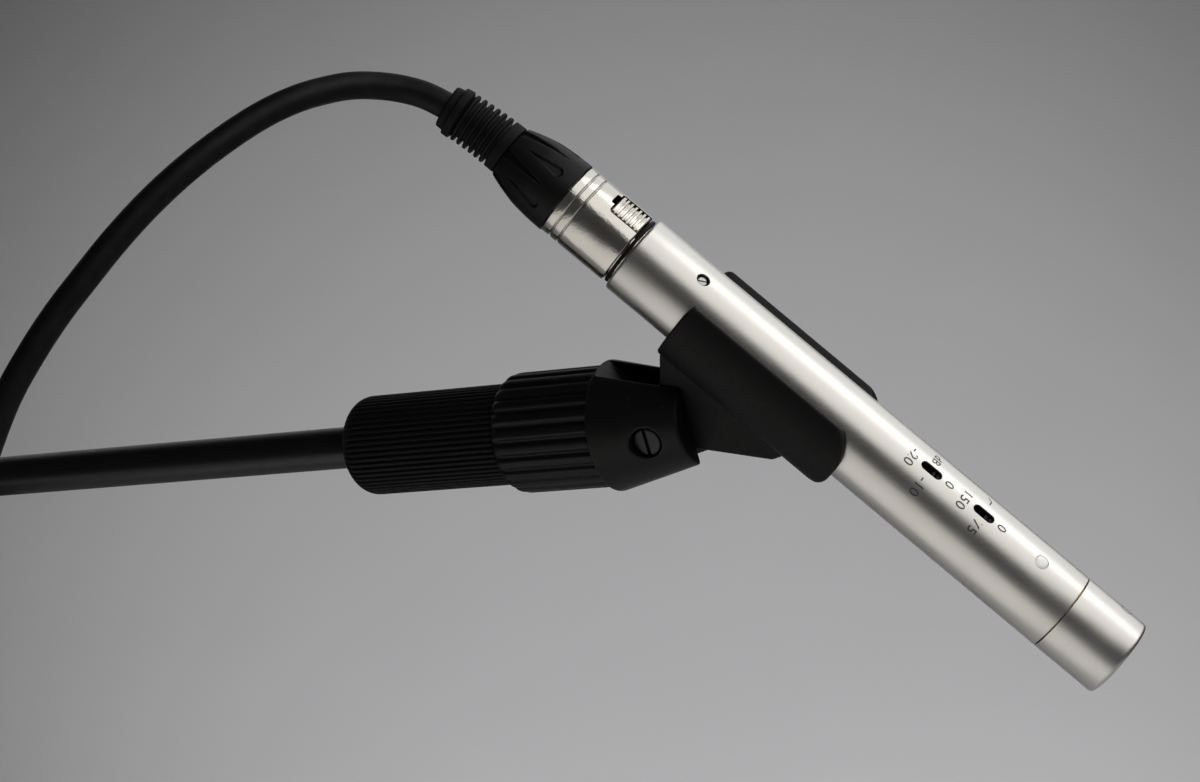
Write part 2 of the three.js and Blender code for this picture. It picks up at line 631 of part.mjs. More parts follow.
function capsule() {
  const rear = BODY_LENGTH + GAP;
  const front = BODY_LENGTH + CAPSULE_LENGTH;
  const bore = MIC_R - MIC_WALL;
  const lipRear = front - CAPSULE_LIP;
  const shell = [
    [bore, rear],
    [MIC_R, rear],
    [MIC_R, front - RIM_ROUND],
    [MIC_R - RIM_ROUND * 0.3, front - RIM_ROUND * 0.3],
    [MIC_R - RIM_ROUND, front],
    [CAPSULE_LIP_R, front],
    [CAPSULE_LIP_R, lipRear],
    [bore, lipRear],
  ];
  piece(micFrame, "capsule_shell", satinNickel, solid(turned(shell, 40)));

  const collarR = bore - GAP;
  const collarRear = BODY_LENGTH - COLLAR_ENGAGEMENT;
  const collarFront = collarRear + COLLAR_LENGTH;
  const collar = [
    [collarR - COLLAR_WALL, collarRear],
    ...threadRidges(collarR, collarRear + GAP, BODY_LENGTH, COLLAR_PITCH),
    [collarR, BODY_LENGTH],
    [collarR, collarFront],
    [collarR - COLLAR_WALL, collarFront],
  ];
  piece(micFrame, "capsule_collar", brass, solid(turned(collar, 20)));

  const stackR = bore - GAP;
  const grilleFront = lipRear - GAP;
  const grilleRear = grilleFront - GRILLE_THICKNESS;
  const holes = [rod(GRILLE_HOLE_R, grilleRear - 1, grilleFront + 1, 6)];
  for (const [count, r] of GRILLE_CIRCLES) {
    for (let i = 0; i < count; i += 1) {
      const turn = (i / count) * 2 * Math.PI;
      const hole = rod(GRILLE_HOLE_R, grilleRear - 1, grilleFront + 1, 6);
      holes.push(hole.translate(r * Math.cos(turn), r * Math.sin(turn), 0));
    }
  }
  const grille = cut(solid(rod(stackR, grilleRear, grilleFront, 24)), ...holes);
  piece(micFrame, "capsule_grille", satinNickel, grille);

  const [ringBore, ringThickness] = MEMBRANE_RING;
  const ringFront = grilleRear - GAP;
  const ringRear = ringFront - ringThickness;
  piece(micFrame, "diaphragm_ring", brass, solid(ring(ringBore, stackR, ringRear, ringFront, 24)));
  const filmFront = ringRear - GAP;
  const film = rod(stackR - GAP, filmFront - MEMBRANE, filmFront, 24);
  piece(micFrame, "diaphragm", gold, solid(film));
  const [plateR, plateThickness] = BACKPLATE;
  const plateFront = filmFront - MEMBRANE - GAP;
  const plateRear = plateFront - plateThickness;
  piece(micFrame, "backplate", brass, solid(rod(plateR, plateRear, plateFront, 20)));
  const cupRear = plateRear - GAP - CUP_FLOOR;
  const cup = [
    [CONTACT_R + GAP, cupRear],
    [stackR - GAP, cupRear],
    [stackR - GAP, plateFront],
    [plateR + GAP, plateFront],
    [plateR + GAP, plateRear - GAP],
    [CONTACT_R + GAP, plateRear - GAP],
  ];
  piece(micFrame, "backplate_insulator", clearPlastic, solid(turned(cup, 24)));
  const contactRear = FRONT_INSULATOR[1] + PLUNGER_REACH + GAP;
  piece(micFrame, "capsule_contact", gold, solid(rod(CONTACT_R, contactRear, plateRear - GAP, 10)));
}

// ---------------------------------------------------------------- XLR plugs
// A boot nut in a frame whose +Z runs back along the lead, with its front face at z = 0.
function bootNut(segments) {
  const stations = [0, 0.23, 0.53, 0.8, 1].map((share) => share * BOOT_NUT_LENGTH);
  const outside = BOOT_NUT_RADII.map((r, i) => [r, stations[i]]);
  const spigotEnd = PLUG_SPIGOT + GAP;
  const shoulder = BOOT_NUT_LENGTH - BOOT_SHOULDER;
  const mouthR = BOOT_SLEEVE_R - BOOT_STEP;
  const inside = [
    [mouthR, BOOT_NUT_LENGTH],
    [mouthR, shoulder],
    [PLUG_BORE_R - GAP, shoulder],
    [PLUG_BORE_R - GAP, spigotEnd],
    [PLUG_BORE_R + 1, spigotEnd],
    [PLUG_BORE_R + 1, 0],
  ];
  const flutes = Array.from({ length: BOOT_FLUTES }, (_, i) => {
    const length = BOOT_NUT_LENGTH * BOOT_FLUTE_SHARE;
    const cutter = new THREE.CylinderGeometry(1.3, 0.3, length, 8).rotateX(Math.PI / 2);
    const lean = Math.atan2(BOOT_NUT_RADII[0] - BOOT_NUT_RADII[4], BOOT_NUT_LENGTH);
    return cutter
      .rotateY(-lean)
      .translate(BOOT_NUT_RADII[2] + 0.2, 0, BOOT_NUT_LENGTH - length / 2 + 1)
      .rotateZ((i / BOOT_FLUTES) * 2 * Math.PI);
  });
  return cut(solid(turned([...outside, ...inside], segments)), ...flutes);
}

// The ribbed rubber sleeve behind the nut. Its spigot reaches into the nut.
function bootSleeve(segments) {
  const [frontCollar, rearCollar] = BOOT_COLLARS;
  const end = BOOT_SLEEVE_LENGTH;
  const pitch = (end - frontCollar - rearCollar) / BOOT_SLEEVE_RINGS;
  const grooveR = BOOT_SLEEVE_R - BOOT_RING_DEPTH;
  const rings = Array.from({ length: BOOT_SLEEVE_RINGS }, (_, i) => {
    const z = frontCollar + i * pitch;
    return [
      [grooveR, z],
      [grooveR, z + pitch * 0.4],
      [BOOT_SLEEVE_R, z + pitch * 0.5],
      [BOOT_SLEEVE_R, z + pitch * 0.9],
    ];
  }).flat();
  const spigotR = BOOT_SLEEVE_R - BOOT_STEP - GAP;
  return turned(
    [
      [CORD_BORE_R, -BOOT_SLEEVE_SPIGOT],
      [spigotR, -BOOT_SLEEVE_SPIGOT],
      [spigotR, 0],
      [BOOT_SLEEVE_R, 0],
      [BOOT_SLEEVE_R, frontCollar - 0.1],
      ...rings,
      [BOOT_SLEEVE_R - 0.3, end - rearCollar + 0.1],
      [BOOT_SLEEVE_R - 0.5, end],
      [CORD_BORE_R, end],
    ],
    segments,
  );
}

// Bends the part of a geometry that lies past z = 0 round a radius, towards an azimuth.
function bent(geometry, bendR, azimuth) {
  geometry.rotateZ(-radians(azimuth));
  const position = geometry.getAttribute("position");
  for (let i = 0; i < position.count; i += 1) {
    const z = position.getZ(i);
    if (z <= 0) continue;
    const r = bendR - position.getX(i);
    position.setX(i, bendR - r * Math.cos(z / bendR));
    position.setZ(i, r * Math.sin(z / bendR));
  }
  return geometry.rotateZ(radians(azimuth));
}

// A clamp on the lead's end, behind a shell's rear face.
function cableClamp(shellRear) {
  const [low, high] = CLAMP.map((distance) => shellRear + distance);
  return solid(ring(CORD_BORE_R - 0.1, PLUG_BORE_R - 2 * GAP, low, high, 14));
}

function micPlug() {
  const shellRear = PLUG_FACE + PLUG_SHELL_LENGTH;
  const barrelEnd = GAP - RECEPTACLE_DEPTH + 3;
  const grooves = PLUG_GROOVES.flatMap((distance) => {
    const z = PLUG_FACE + distance;
    return [[PLUG_SHELL_R, z - 0.3], [PLUG_SHELL_R - GROOVE_DEPTH, z], [PLUG_SHELL_R, z + 0.3]];
  });
  const profile = [
    [PLUG_BORE_R, barrelEnd],
    [PLUG_BARREL_R, barrelEnd],
    [PLUG_BARREL_R, PLUG_FACE],
    [PLUG_SHELL_R - GAP, PLUG_FACE],
    [PLUG_SHELL_R, PLUG_FACE + GAP],
    ...grooves,
    [PLUG_SHELL_R, shellRear],
    [PLUG_BORE_R + PLUG_SPIGOT_WALL, shellRear],
    [PLUG_BORE_R + PLUG_SPIGOT_WALL, shellRear + PLUG_SPIGOT],
    [PLUG_BORE_R, shellRear + PLUG_SPIGOT],
  ];
  const [windowWidth, windowLength] = LATCH_WINDOW;
  const windowEnd = PLUG_FACE + windowLength;
  const half = windowWidth / 2;
  const window = block(
    [PLUG_BORE_R - OVERCUT, -half, PLUG_FACE - 0.3],
    [PLUG_SHELL_R + OVERCUT, half, windowEnd],
  );
  piece(plugFrame, "plug_shell", brightNickel, cut(solid(turned(profile, 36)), window));
  const seal = ring(PLUG_BARREL_R + GAP, MIC_R - 1.1, ...PLUG_SEAL, 28);
  piece(plugFrame, "plug_seal", blackRubber, solid(seal));

  const leverRear = windowEnd - GAP;
  const leverFront = PLUG_FACE + 0.1;
  const underside = PLUG_SHELL_R - LATCH_THICKNESS;
  const leverRing = ring(underside, PLUG_SHELL_R, leverFront, leverRear, 36);
  const leverBlock = block(
    [underside - 1, -half + GAP, leverFront],
    [PLUG_SHELL_R + 1, half - GAP, leverRear],
  );
  const pitch = (leverRear - leverFront - 2) / LATCH_RIBS;
  const ribGrooves = Array.from({ length: LATCH_RIBS }, (_, i) => {
    const z = leverFront + 1 + i * pitch;
    return block(
      [PLUG_SHELL_R - LATCH_RIB_DEPTH, -half - 1, z],
      [PLUG_SHELL_R + 1, half + 1, z + pitch * 0.45],
    );
  });
  const lever = cut(solid(leverRing).intersect(solid(leverBlock)), ...ribGrooves);
  piece(plugFrame, "latch_lever", brightNickel, lever);
  const insertR = PLUG_BORE_R - GAP;
  const leaf = block([insertR + 0.15, -2, leverFront + 1], [underside - 0.4, 2, leverRear - 1]);
  piece(plugFrame, "latch_spring", steel, solid(leaf));

  const insertFront = barrelEnd + GAP;
  const socketR = PIN_R + 2 * GAP;
  const wells = contacts.map(([x, y]) => {
    return rod(socketR + GAP, insertFront - 1, PLUG_INSERT_REAR + 1, 10).translate(x, y, 0);
  });
  const insert = cut(solid(rod(insertR, insertFront, PLUG_INSERT_REAR, 24)), ...wells);
  piece(plugFrame, "plug_insert", blackPlastic, insert);
  contacts.forEach(([x, y], i) => {
    const front = insertFront + GAP;
    const socket = cut(solid(rod(socketR, front, front + SOCKET_LENGTH, 10)), socketBore(front));
    piece(plugFrame, `plug_socket_${i + 1}`, gold, socket.translate([x, y, 0]));
  });
  piece(plugFrame, "cable_clamp", blackPlastic, cableClamp(shellRear));
  const nutFace = shellRear + GAP;
  piece(plugFrame, "boot_nut", blackPlastic, bootNut(24).translate([0, 0, nutFace]));
  const sleeveFace = nutFace + BOOT_NUT_LENGTH + GAP;
  const sleeve = bent(bootSleeve(16), BOOT_BEND_R, -BOOT_BEND_AZIMUTH + LATCH_AZIMUTH);
  piece(plugFrame, "boot_sleeve", blackRubber, solid(sleeve).translate([0, 0, sleeveFace]));
}

// The bore of a socket, deep enough for the pin that enters it from its front.
function socketBore(front) {
  const pinTip = PIN_PROJECTION - RECEPTACLE_DEPTH;
  return rod(PIN_R + GAP, front - 1, pinTip + 1, 10);
}

// ---------------------------------------------------------------- lead
// The stretch that isn't coiled, from the plug's clamp to where it joins the coil.
const CORD_ROUTE = [
  [270.3, -25.9, 55.6],
  [266.1, -28.1, 60.2],
  [261.8, -30.2, 64.9],
  [257.8, -32.3, 69.0],
  [253.7, -34.5, 72.8],
  [249.6, -37.0, 76.3],
  [245.1, -39.7, 79.3],
  [240.5, -42.8, 81.1],
  [236.4, -47.0, 81.9],
  [232.9, -52.2, 81.8],
  [229.7, -58.0, 80.6],
  [226.4, -64.4, 78.6],
  [221.8, -71.3, 75.1],
  [216.1, -79.9, 69.1],
  [210.4, -87.3, 62.5],
  [204.7, -93.5, 55.4],
  [199.3, -99.0, 47.8],
  [194.0, -103.8, 39.8],
  [188.6, -108.1, 31.7],
  [183.5, -111.7, 23.2],
  [178.3, -114.6, 13.8],
  [170.5, -115.2, -0.5],
  [160.0, -114.6, -20.0],
  [146.0, -112.4, -40.0],
  [128.0, -107.0, -57.5],
  [106.0, -97.0, -68.5],
  [82.0, -81.5, -72.0],
  [64.0, -67.0, -70.5],
  [53.0, -56.5, -68.0],
  [43.4, -45.2, -65.0],
  [37.8, -35.0, -63.6],
  [35.9, -24.6, -63.2],
];

function cord() {
  const section = new THREE.Shape(
    Array.from({ length: 10 }, (_, i) => {
      const turn = (i / 10) * 2 * Math.PI;
      return new THREE.Vector2(CORD_R * Math.cos(turn), CORD_R * Math.sin(turn));
    }),
  );
  const path = new THREE.CatmullRomCurve3(CORD_ROUTE.map((point) => new THREE.Vector3(...point)));
  const options = { steps: 44, bevelEnabled: false, extrudePath: path };
  piece(microphone, "cord_free", blackRubber, solid(new THREE.ExtrudeGeometry(section, options)));

  const halfWidth = ((COIL_COLUMNS - 1) * COIL_PITCH) / 2 + CORD_R;
  const halfDepth = ((COIL_LAYERS - 1) * COIL_PITCH) / 2 + CORD_R;
  const inner = COIL_MEAN_R - halfDepth;
  const outer = COIL_MEAN_R + halfDepth;
  const coilZ = ROD_R + GAP - inner; // it hangs on the rod
  const chamfer = CORD_R / 2;
  const bundle = [
    [inner, -halfWidth + chamfer],
    [inner + chamfer, -halfWidth],
    [outer - chamfer, -halfWidth],
    [outer, -halfWidth + chamfer],
    [outer, halfWidth - chamfer],
    [outer - chamfer, halfWidth],
    [inner + chamfer, halfWidth],
    [inner, halfWidth - chamfer],
  ];
  const coil = alongRod(turned(bundle, 32)).translate(COIL_X, 0, coilZ);
  piece(microphone, "cord_coil", blackRubber, solid(coil));

  // A strap round the bundle, on the coil's side where the tail leaves it.
  const innerChord = Math.sqrt(inner ** 2 - (TIE_WIDTH / 2) ** 2);
  const hole = [[-halfWidth - GAP, -outer - GAP], [halfWidth + GAP, -innerChord + GAP]];
  const t = TIE_THICKNESS;
  const [[x0, y0], [x1, y1]] = hole;
  const band = block([x0 - t, y0 - t, -TIE_WIDTH / 2], [x1 + t, y1 + t, TIE_WIDTH / 2]);
  const window = block([x0, y0, -TIE_WIDTH], [x1, y1, TIE_WIDTH]);
  piece(microphone, "coil_tie", hookAndLoop, cut(solid(band), window).translate([COIL_X, 0, coilZ]));

  // The tail leaves the coil's outer layer straight down.
  const tailX = COIL_X - halfWidth + CORD_R;
  const tailY = -outer + CORD_R;
  const clear = Math.sqrt(outer ** 2 - (outer - 2 * CORD_R - GAP) ** 2);
  const tailTop = coilZ - clear - GAP;
  const tailBottom = tailTop - TAIL_LENGTH;
  const tail = rod(CORD_R, tailBottom, tailTop, 10).translate(tailX, tailY, 0);
  piece(microphone, "cord_tail", blackRubber, solid(tail));
  // The stage plug's boot ends here; its frame's +Z runs back up the tail.
  stageFrame.position.set(tailX, tailY, tailTop);
}

function stagePlug() {
  // Heights from the tail's top, below which all of them lie.
  const sleeveFace = STAGE_BOOT_TOP - BOOT_SLEEVE_LENGTH;
  const nutFace = sleeveFace - GAP - BOOT_NUT_LENGTH;
  const shellRear = nutFace - GAP;
  const shellFront = shellRear - STAGE_SHELL_LENGTH;
  const sleeve = solid(bootSleeve(16)).translate([0, 0, sleeveFace]);
  piece(stageFrame, "stage_boot_sleeve", blackRubber, sleeve);
  piece(stageFrame, "stage_boot_nut", blackPlastic, bootNut(24).translate([0, 0, nutFace]));
  piece(stageFrame, "stage_cable_clamp", blackPlastic, cableClamp(shellRear));
  const bore = RECEPTACLE_R;
  const webFront = shellFront + RECEPTACLE_DEPTH + RECEPTACLE_INSERT + 2 * GAP;
  const profile = [
    [bore, shellFront],
    [STAGE_SHELL_R - 0.4, shellFront],
    [STAGE_SHELL_R, shellFront + 0.4],
    [STAGE_SHELL_R, shellRear],
    [PLUG_BORE_R + PLUG_SPIGOT_WALL, shellRear],
    [PLUG_BORE_R + PLUG_SPIGOT_WALL, shellRear + PLUG_SPIGOT],
    [PLUG_BORE_R, shellRear + PLUG_SPIGOT],
    [PLUG_BORE_R, webFront],
    [bore, webFront],
  ];
  piece(stageFrame, "stage_shell", brightNickel, solid(turned(profile, 32)));
  const insertFront = shellFront + RECEPTACLE_DEPTH;
  const insertRear = insertFront + RECEPTACLE_INSERT;
  const hole = rod(PIN_R + GAP, insertFront - 1, insertRear + 1, 10);
  const holes = contacts.map(([x, y]) => hole.clone().translate(x, y, 0));
  const insert = cut(solid(rod(bore - GAP, insertFront, insertRear, 24)), ...holes);
  piece(stageFrame, "stage_insert", blackPlastic, insert);
  contacts.forEach(([x, y], i) => {
    const pin = rod(PIN_R, insertFront - PIN_PROJECTION, insertRear + PIN_TAIL, 10).translate(x, y, 0);
    piece(stageFrame, `stage_pin_${i + 1}`, gold, solid(pin));
  });
}

boomRod();
clipBase();
clip();
micBody();
micConnector();
circuit();
frontContact();
capsule();
micPlug();
cord();
stagePlug();

export default microphone;
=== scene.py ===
"""Looks for a pencil condenser microphone in its stand clip, on the end of a boom rod, with its XLR lead.

Shapes are drawn in millimetres, each in the frame of the part that it belongs to, and placed in metres.
"""

import json
import math

import bmesh
import bpy
from mathutils import Matrix, Vector


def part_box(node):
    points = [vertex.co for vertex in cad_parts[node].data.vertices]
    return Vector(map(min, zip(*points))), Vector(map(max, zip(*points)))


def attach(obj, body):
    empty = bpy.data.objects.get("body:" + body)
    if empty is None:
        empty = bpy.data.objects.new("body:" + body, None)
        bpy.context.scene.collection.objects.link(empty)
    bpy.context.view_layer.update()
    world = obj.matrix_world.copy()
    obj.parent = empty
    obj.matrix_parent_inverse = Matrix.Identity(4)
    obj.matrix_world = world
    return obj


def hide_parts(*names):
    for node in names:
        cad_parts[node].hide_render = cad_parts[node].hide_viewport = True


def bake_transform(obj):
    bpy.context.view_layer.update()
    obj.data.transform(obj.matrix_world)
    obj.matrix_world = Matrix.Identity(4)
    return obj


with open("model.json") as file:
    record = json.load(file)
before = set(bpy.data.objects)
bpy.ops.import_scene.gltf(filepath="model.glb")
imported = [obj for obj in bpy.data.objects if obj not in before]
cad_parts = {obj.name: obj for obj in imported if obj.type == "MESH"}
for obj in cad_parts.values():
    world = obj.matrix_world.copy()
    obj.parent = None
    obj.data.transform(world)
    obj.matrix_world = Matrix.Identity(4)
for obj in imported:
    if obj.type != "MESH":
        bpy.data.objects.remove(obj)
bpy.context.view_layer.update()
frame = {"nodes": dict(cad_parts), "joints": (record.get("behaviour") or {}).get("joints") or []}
MM = 0.001
FLOOR_Z = -0.8  # in metres

# ---------------------------------------------------------------- driving dimensions, in millimetres
GAP = 0.3  # between pieces that fit
STEM = 30.5  # from the clip's pivot to the microphone's axis, and along it to the rear rim
MIC_R = 10
MIC_WALL = 1
BODY_LENGTH = 128.6
CAPSULE_LENGTH = 17.3
RIM_ROUND = 0.8
RECEPTACLE_R = 8.3
RECEPTACLE_DEPTH = 12
RECEPTACLE_INSERT = 8
MARKS_AZIMUTH = 21.3  # degrees from the clip's mouth to the line of the switches
PAD_STATION = 84.9
FILTER_STATION = 100.3
SLOT_LENGTH = 5.6
SLOT_WIDTH = 2.2
DOT_STATION = 117.4
DOT_R = 1.4
SCREW_STATION = 17
SCREW_R = 1.2
CAPSULE_LIP_R = 7.8

CLIP_REAR = 18.9
CLIP_FRONT = 68
CLIP_OUTER_R = 13.4
CLIP_OFFSET = 0.6
CLIP_HALF_MOUTH = 56
CLIP_JAW_HEIGHT = 7.7
CLIP_CORNER = 9.5
CLIP_REAR_CORNER = 3.99
TONGUE_R = 7.5
TONGUE_HALF = 3.95

BARREL_REAR = 41  # behind the pivot
BARREL_R = 14.7
BARREL_RIBS = 24
YOKE_RIM = 13.5
YOKE_RIM_R = 16
YOKE_NOSE = 8.5
YOKE_NOSE_R = 10.8
YOKE_SLOT_HALF = 4.25
SLOT_FLOOR = 8.4
SLOT_FLOOR_HALF = 9
PIVOT_SEAT = 9.1  # from the rod's line to the seats of the pivot's screw and nut
PIVOT_SHANK_R = 2
PIVOT_HEAD_R = 3.5
PIVOT_NUT_R = 4
INSERT_R = 7.95  # the base's brass insert
INSERT_LENGTH = 15.6
SLEEVE_R = 12.4
SLEEVE_LENGTH = 45
SLEEVE_RIBS = 54
ROD_R = 5.25

PLUG_FACE = 1.45  # behind the microphone's rear rim
PLUG_SHELL_R = 9.35
PLUG_SHELL_LENGTH = 18.3
PLUG_BARREL_R = 7.95
PLUG_BORE_R = 6.9
PLUG_SPIGOT = 7.2
LATCH_AZIMUTH = 5
LATCH_LENGTH = 8.5
LATCH_HALF = 4
BOOT_NUT_LENGTH = 17
BOOT_SLEEVE_LENGTH = 18.1
BOOT_SLEEVE_R = 6.35
BOOT_BEND_R = 110
BOOT_BEND_AZIMUTH = -120
STAGE_SHELL_LENGTH = 30
STAGE_SHELL_R = 9.5

CORD_R = 3.25
COIL_MEAN_R = 36
COIL_PITCH = 6.6
COIL_X = 26
TAIL_LENGTH = 42  # from the tail's top, just below the coil, into the stage plug's clamp

# ---------------------------------------------------------------- frames
JOINTS = {joint["name"]: joint for joint in frame["joints"]}
PIVOT = Vector(JOINTS["clip_tilt"]["pos_m"])
PIVOT_AXIS = Vector(JOINTS["clip_tilt"]["axis"])
MIC_AXIS = Vector(JOINTS["pad_slide"]["axis"])


def axes_at(origin, y, z):
    """The frame at an origin with those Y and Z axes."""
    y, z = Vector(y).normalized(), Vector(z).normalized()
    turned = Matrix((y.cross(z), y, z)).transposed().to_4x4()
    return Matrix.Translation(origin) @ turned


def shift(x, y, z):
    """A move in millimetres."""
    return Matrix.Translation(Vector((x, y, z)) * MM)


def spin(degrees):
    return Matrix.Rotation(math.radians(degrees), 4, "Z")


BASE = axes_at(PIVOT, PIVOT_AXIS, (1, 0, 0))  # +Z along the rod, +Y along the pivot screw
PIVOT_LINE = BASE @ Matrix.Rotation(math.pi / 2, 4, "X")
MIC_AT_STEM = axes_at(PIVOT, -PIVOT_AXIS, MIC_AXIS)
MIC = MIC_AT_STEM @ shift(STEM, 0, -STEM)  # +Z to the capsule, +X out of the clip
MARKS = MIC @ spin(MARKS_AZIMUTH)  # +X out through the switches
PLUG = MIC @ spin(LATCH_AZIMUTH) @ Matrix.Rotation(math.pi, 4, "X")  # +Z back along the lead
TAIL_LOW, TAIL_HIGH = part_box("cord_tail")
STAGE = Matrix.Translation(((TAIL_LOW.x + TAIL_HIGH.x) / 2, (TAIL_LOW.y + TAIL_HIGH.y) / 2, TAIL_HIGH.z))

# ---------------------------------------------------------------- camera
camera = bpy.data.objects.new("camera", bpy.data.cameras.new("camera"))
bpy.context.scene.collection.objects.link(camera)
bpy.context.scene.camera = camera
camera.data.lens = 90
camera.data.sensor_width = 36
camera.data.clip_start = 0.01
camera.data.clip_end = 50
BACK = Vector((0.4783, -0.8774, -0.0376))
UP = Vector((0.0785, 0.0, 0.9969))
RIGHT = UP.cross(BACK).normalized()
camera.matrix_world = Matrix.Translation((0.6099, -0.6331, -0.0186)) @ Matrix(
    (RIGHT, BACK.cross(RIGHT).normalized(), BACK.normalized())
).transposed().to_4x4()


# ---------------------------------------------------------------- meshes
def weld(mesh, distance):
    """Merges a mesh's coinciding points and turns its faces outwards."""
    whole = bmesh.new()
    whole.from_mesh(mesh)
    bmesh.ops.remove_doubles(whole, verts=whole.verts, dist=distance)
    bmesh.ops.recalc_face_normals(whole, faces=whole.faces)
    whole.to_mesh(mesh)
    whole.free()


def object_from(name, mesh, place):
    made = bpy.data.objects.new(name, mesh)
    bpy.context.scene.collection.objects.link(made)
    made.matrix_world = place
    return made


def build(name, vertices, faces, place):
    """A piece in metres from points in millimetres."""
    mesh = bpy.data.meshes.new(name)
    mesh.from_pydata([Vector(v) * MM for v in vertices], [], faces)
    weld(mesh, 1e-7)
    return object_from(name, mesh, place)


def soft(profile, radius=0.3, steps=3, closed=True):
    """A [radius, z] outline with its corners rounded. A third value sets a corner's own rounding."""
    rounded = []
    count = len(profile)
    for i, corner in enumerate(profile):
        here = Vector(corner[:2])
        cut = corner[2] if len(corner) > 2 else radius
        ends = not closed and i in (0, count - 1)
        if ends or cut == 0 or here.x < 1e-6:
            rounded.append(tuple(here))
            continue
        before = Vector(profile[i - 1][:2]) - here
        after = Vector(profile[(i + 1) % count][:2]) - here
        cut = min(cut, before.length * 0.48, after.length * 0.48)
        start, end = here + before.normalized() * cut, here + after.normalized() * cut
        for k in range(steps + 1):
            t = k / steps
            point = start * (1 - t) ** 2 + here * (2 * t * (1 - t)) + end * t**2
            rounded.append(tuple(point))
    return rounded


def lathe(name, profile, place, segments=96, warp=None, steps=None):
    """A body turned about Z. Its outline closes on itself, or starts and ends on the axis."""
    solid = profile[0][0] < 1e-6
    vertices, rings = [], []
    for r, z in profile:
        if r < 1e-6:
            rings.append([len(vertices)])
            vertices.append((0, 0, z))
            continue
        rings.append(list(range(len(vertices), len(vertices) + segments)))
        for k in range(segments):
            angle = 2 * math.pi * k / segments
            reach = warp(r, angle, z) if warp else r
            vertices.append((reach * math.cos(angle), reach * math.sin(angle), z))
    pairs = list(zip(rings, rings[1:])) + ([] if solid else [(rings[-1], rings[0])])
    faces = []
    for low, high in pairs:
        for k in range(segments):
            n = (k + 1) % segments
            if len(low) == 1:
                faces.append((low[0], high[n], high[k]))
            elif len(high) == 1:
                faces.append((low[k], low[n], high[0]))
            else:
                faces.append((low[k], low[n], high[n], high[k]))
    return build(name, vertices, faces, place)


def rod(name, r, low, high, place, segments=32):
    """A plain round bar about Z."""
    return lathe(name, [(0, low), (r, low), (r, high), (0, high)], place, segments)


def filled(profile, spacing):
    """The outline again, with points at most that far apart. One that starts on the axis isn't closed."""
    out = []
    pairs = list(zip(profile, profile[1:] + profile[:1]))
    solid = profile[0][0] < 1e-6
    for a, b in pairs[:-1] if solid else pairs:
        a, b = Vector(a[:2]), Vector(b[:2])
        count = max(1, math.ceil((b - a).length / spacing))
        out += [tuple(a.lerp(b, k / count)) for k in range(count)]
    return [*out, profile[-1][:2]] if solid else out


def arc(cx, cy, r, start, end, steps):
    turns = [math.radians(start + (end - start) * i / steps) for i in range(steps + 1)]
    return [(cx + r * math.cos(turn), cy + r * math.sin(turn)) for turn in turns]


def prism(name, outline, low, high, place, plane="XY"):
    """A flat outline thickened between two heights: along Z, along Y for XZ, or along X for YZ."""
    put = {
        "XY": lambda u, v, t: (u, v, t),
        "XZ": lambda u, v, t: (u, t, v),
        "YZ": lambda u, v, t: (t, u, v),
    }[plane]
    count = len(outline)
    vertices = [put(u, v, t) for t in (low, high) for u, v in outline]
    faces = [tuple(range(count)), tuple(range(count, 2 * count))]
    for i in range(count):
        j = (i + 1) % count
        faces.append((i, j, j + count, i + count))
    return build(name, vertices, faces, place)


def settle(thing):
    """Applies a piece's modifiers."""
    depsgraph = bpy.context.evaluated_depsgraph_get()
    mesh = bpy.data.meshes.new_from_object(thing.evaluated_get(depsgraph))
    thing.modifiers.clear()
    thing.data = mesh
    return thing


def carve(thing, *cutters, operation="DIFFERENCE"):
    """Cuts, joins or intersects a piece with others, which are used up."""
    for cutter in cutters:
        modifier = thing.modifiers.new("carve", "BOOLEAN")
        modifier.operation = operation
        modifier.solver = "EXACT"
        modifier.object = cutter
        settle(thing)
        bpy.data.objects.remove(cutter)
    return thing


def bevelled(thing, width):
    bevel = thing.modifiers.new("bevel", "BEVEL")
    bevel.width = width * MM
    bevel.segments = 2
    return settle(thing)


def moulded(thing, voxel, rounds):
    """Makes one skin of a piece, with its edges softened as a moulding's are."""
    remesh = thing.modifiers.new("remesh", "REMESH")
    remesh.mode = "VOXEL"
    remesh.voxel_size = voxel * MM
    smooth = thing.modifiers.new("smooth", "SMOOTH")
    smooth.factor = 0.5
    smooth.iterations = rounds
    return settle(thing)


def join(first, *others):
    """Puts other pieces' meshes into the first one's."""
    whole = bmesh.new()
    whole.from_mesh(first.data)
    for other in others:
        moved = other.data.copy()
        moved.transform(first.matrix_world.inverted() @ other.matrix_world)
        whole.from_mesh(moved)
        bpy.data.objects.remove(other)
    whole.to_mesh(first.data)
    whole.free()
    return first


def shade(thing, sharp=35):
    for face in thing.data.polygons:
        face.use_smooth = True
    thing.data.set_sharp_from_angle(angle=math.radians(sharp))
    return thing


def dress(thing, material):
    """Gives every face of a piece one material."""
    thing.data.materials.clear()
    thing.data.materials.append(material)
    for face in thing.data.polygons:
        face.material_index = 0


def place_piece(thing, material, body, slot, *nodes, sharp=35, marks=None):
    """Gives a finished piece its material and its body, and hides the CAD nodes that it stands for. Its slot is not
    used.
    """
    dress(thing, material)
    if marks:
        thing.data.materials.append(INK)
        for face in marks.data.polygons:
            face.material_index = 1
        join(thing, marks)
    shade(thing, sharp)
    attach(thing, body)
    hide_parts(*nodes)
    return thing


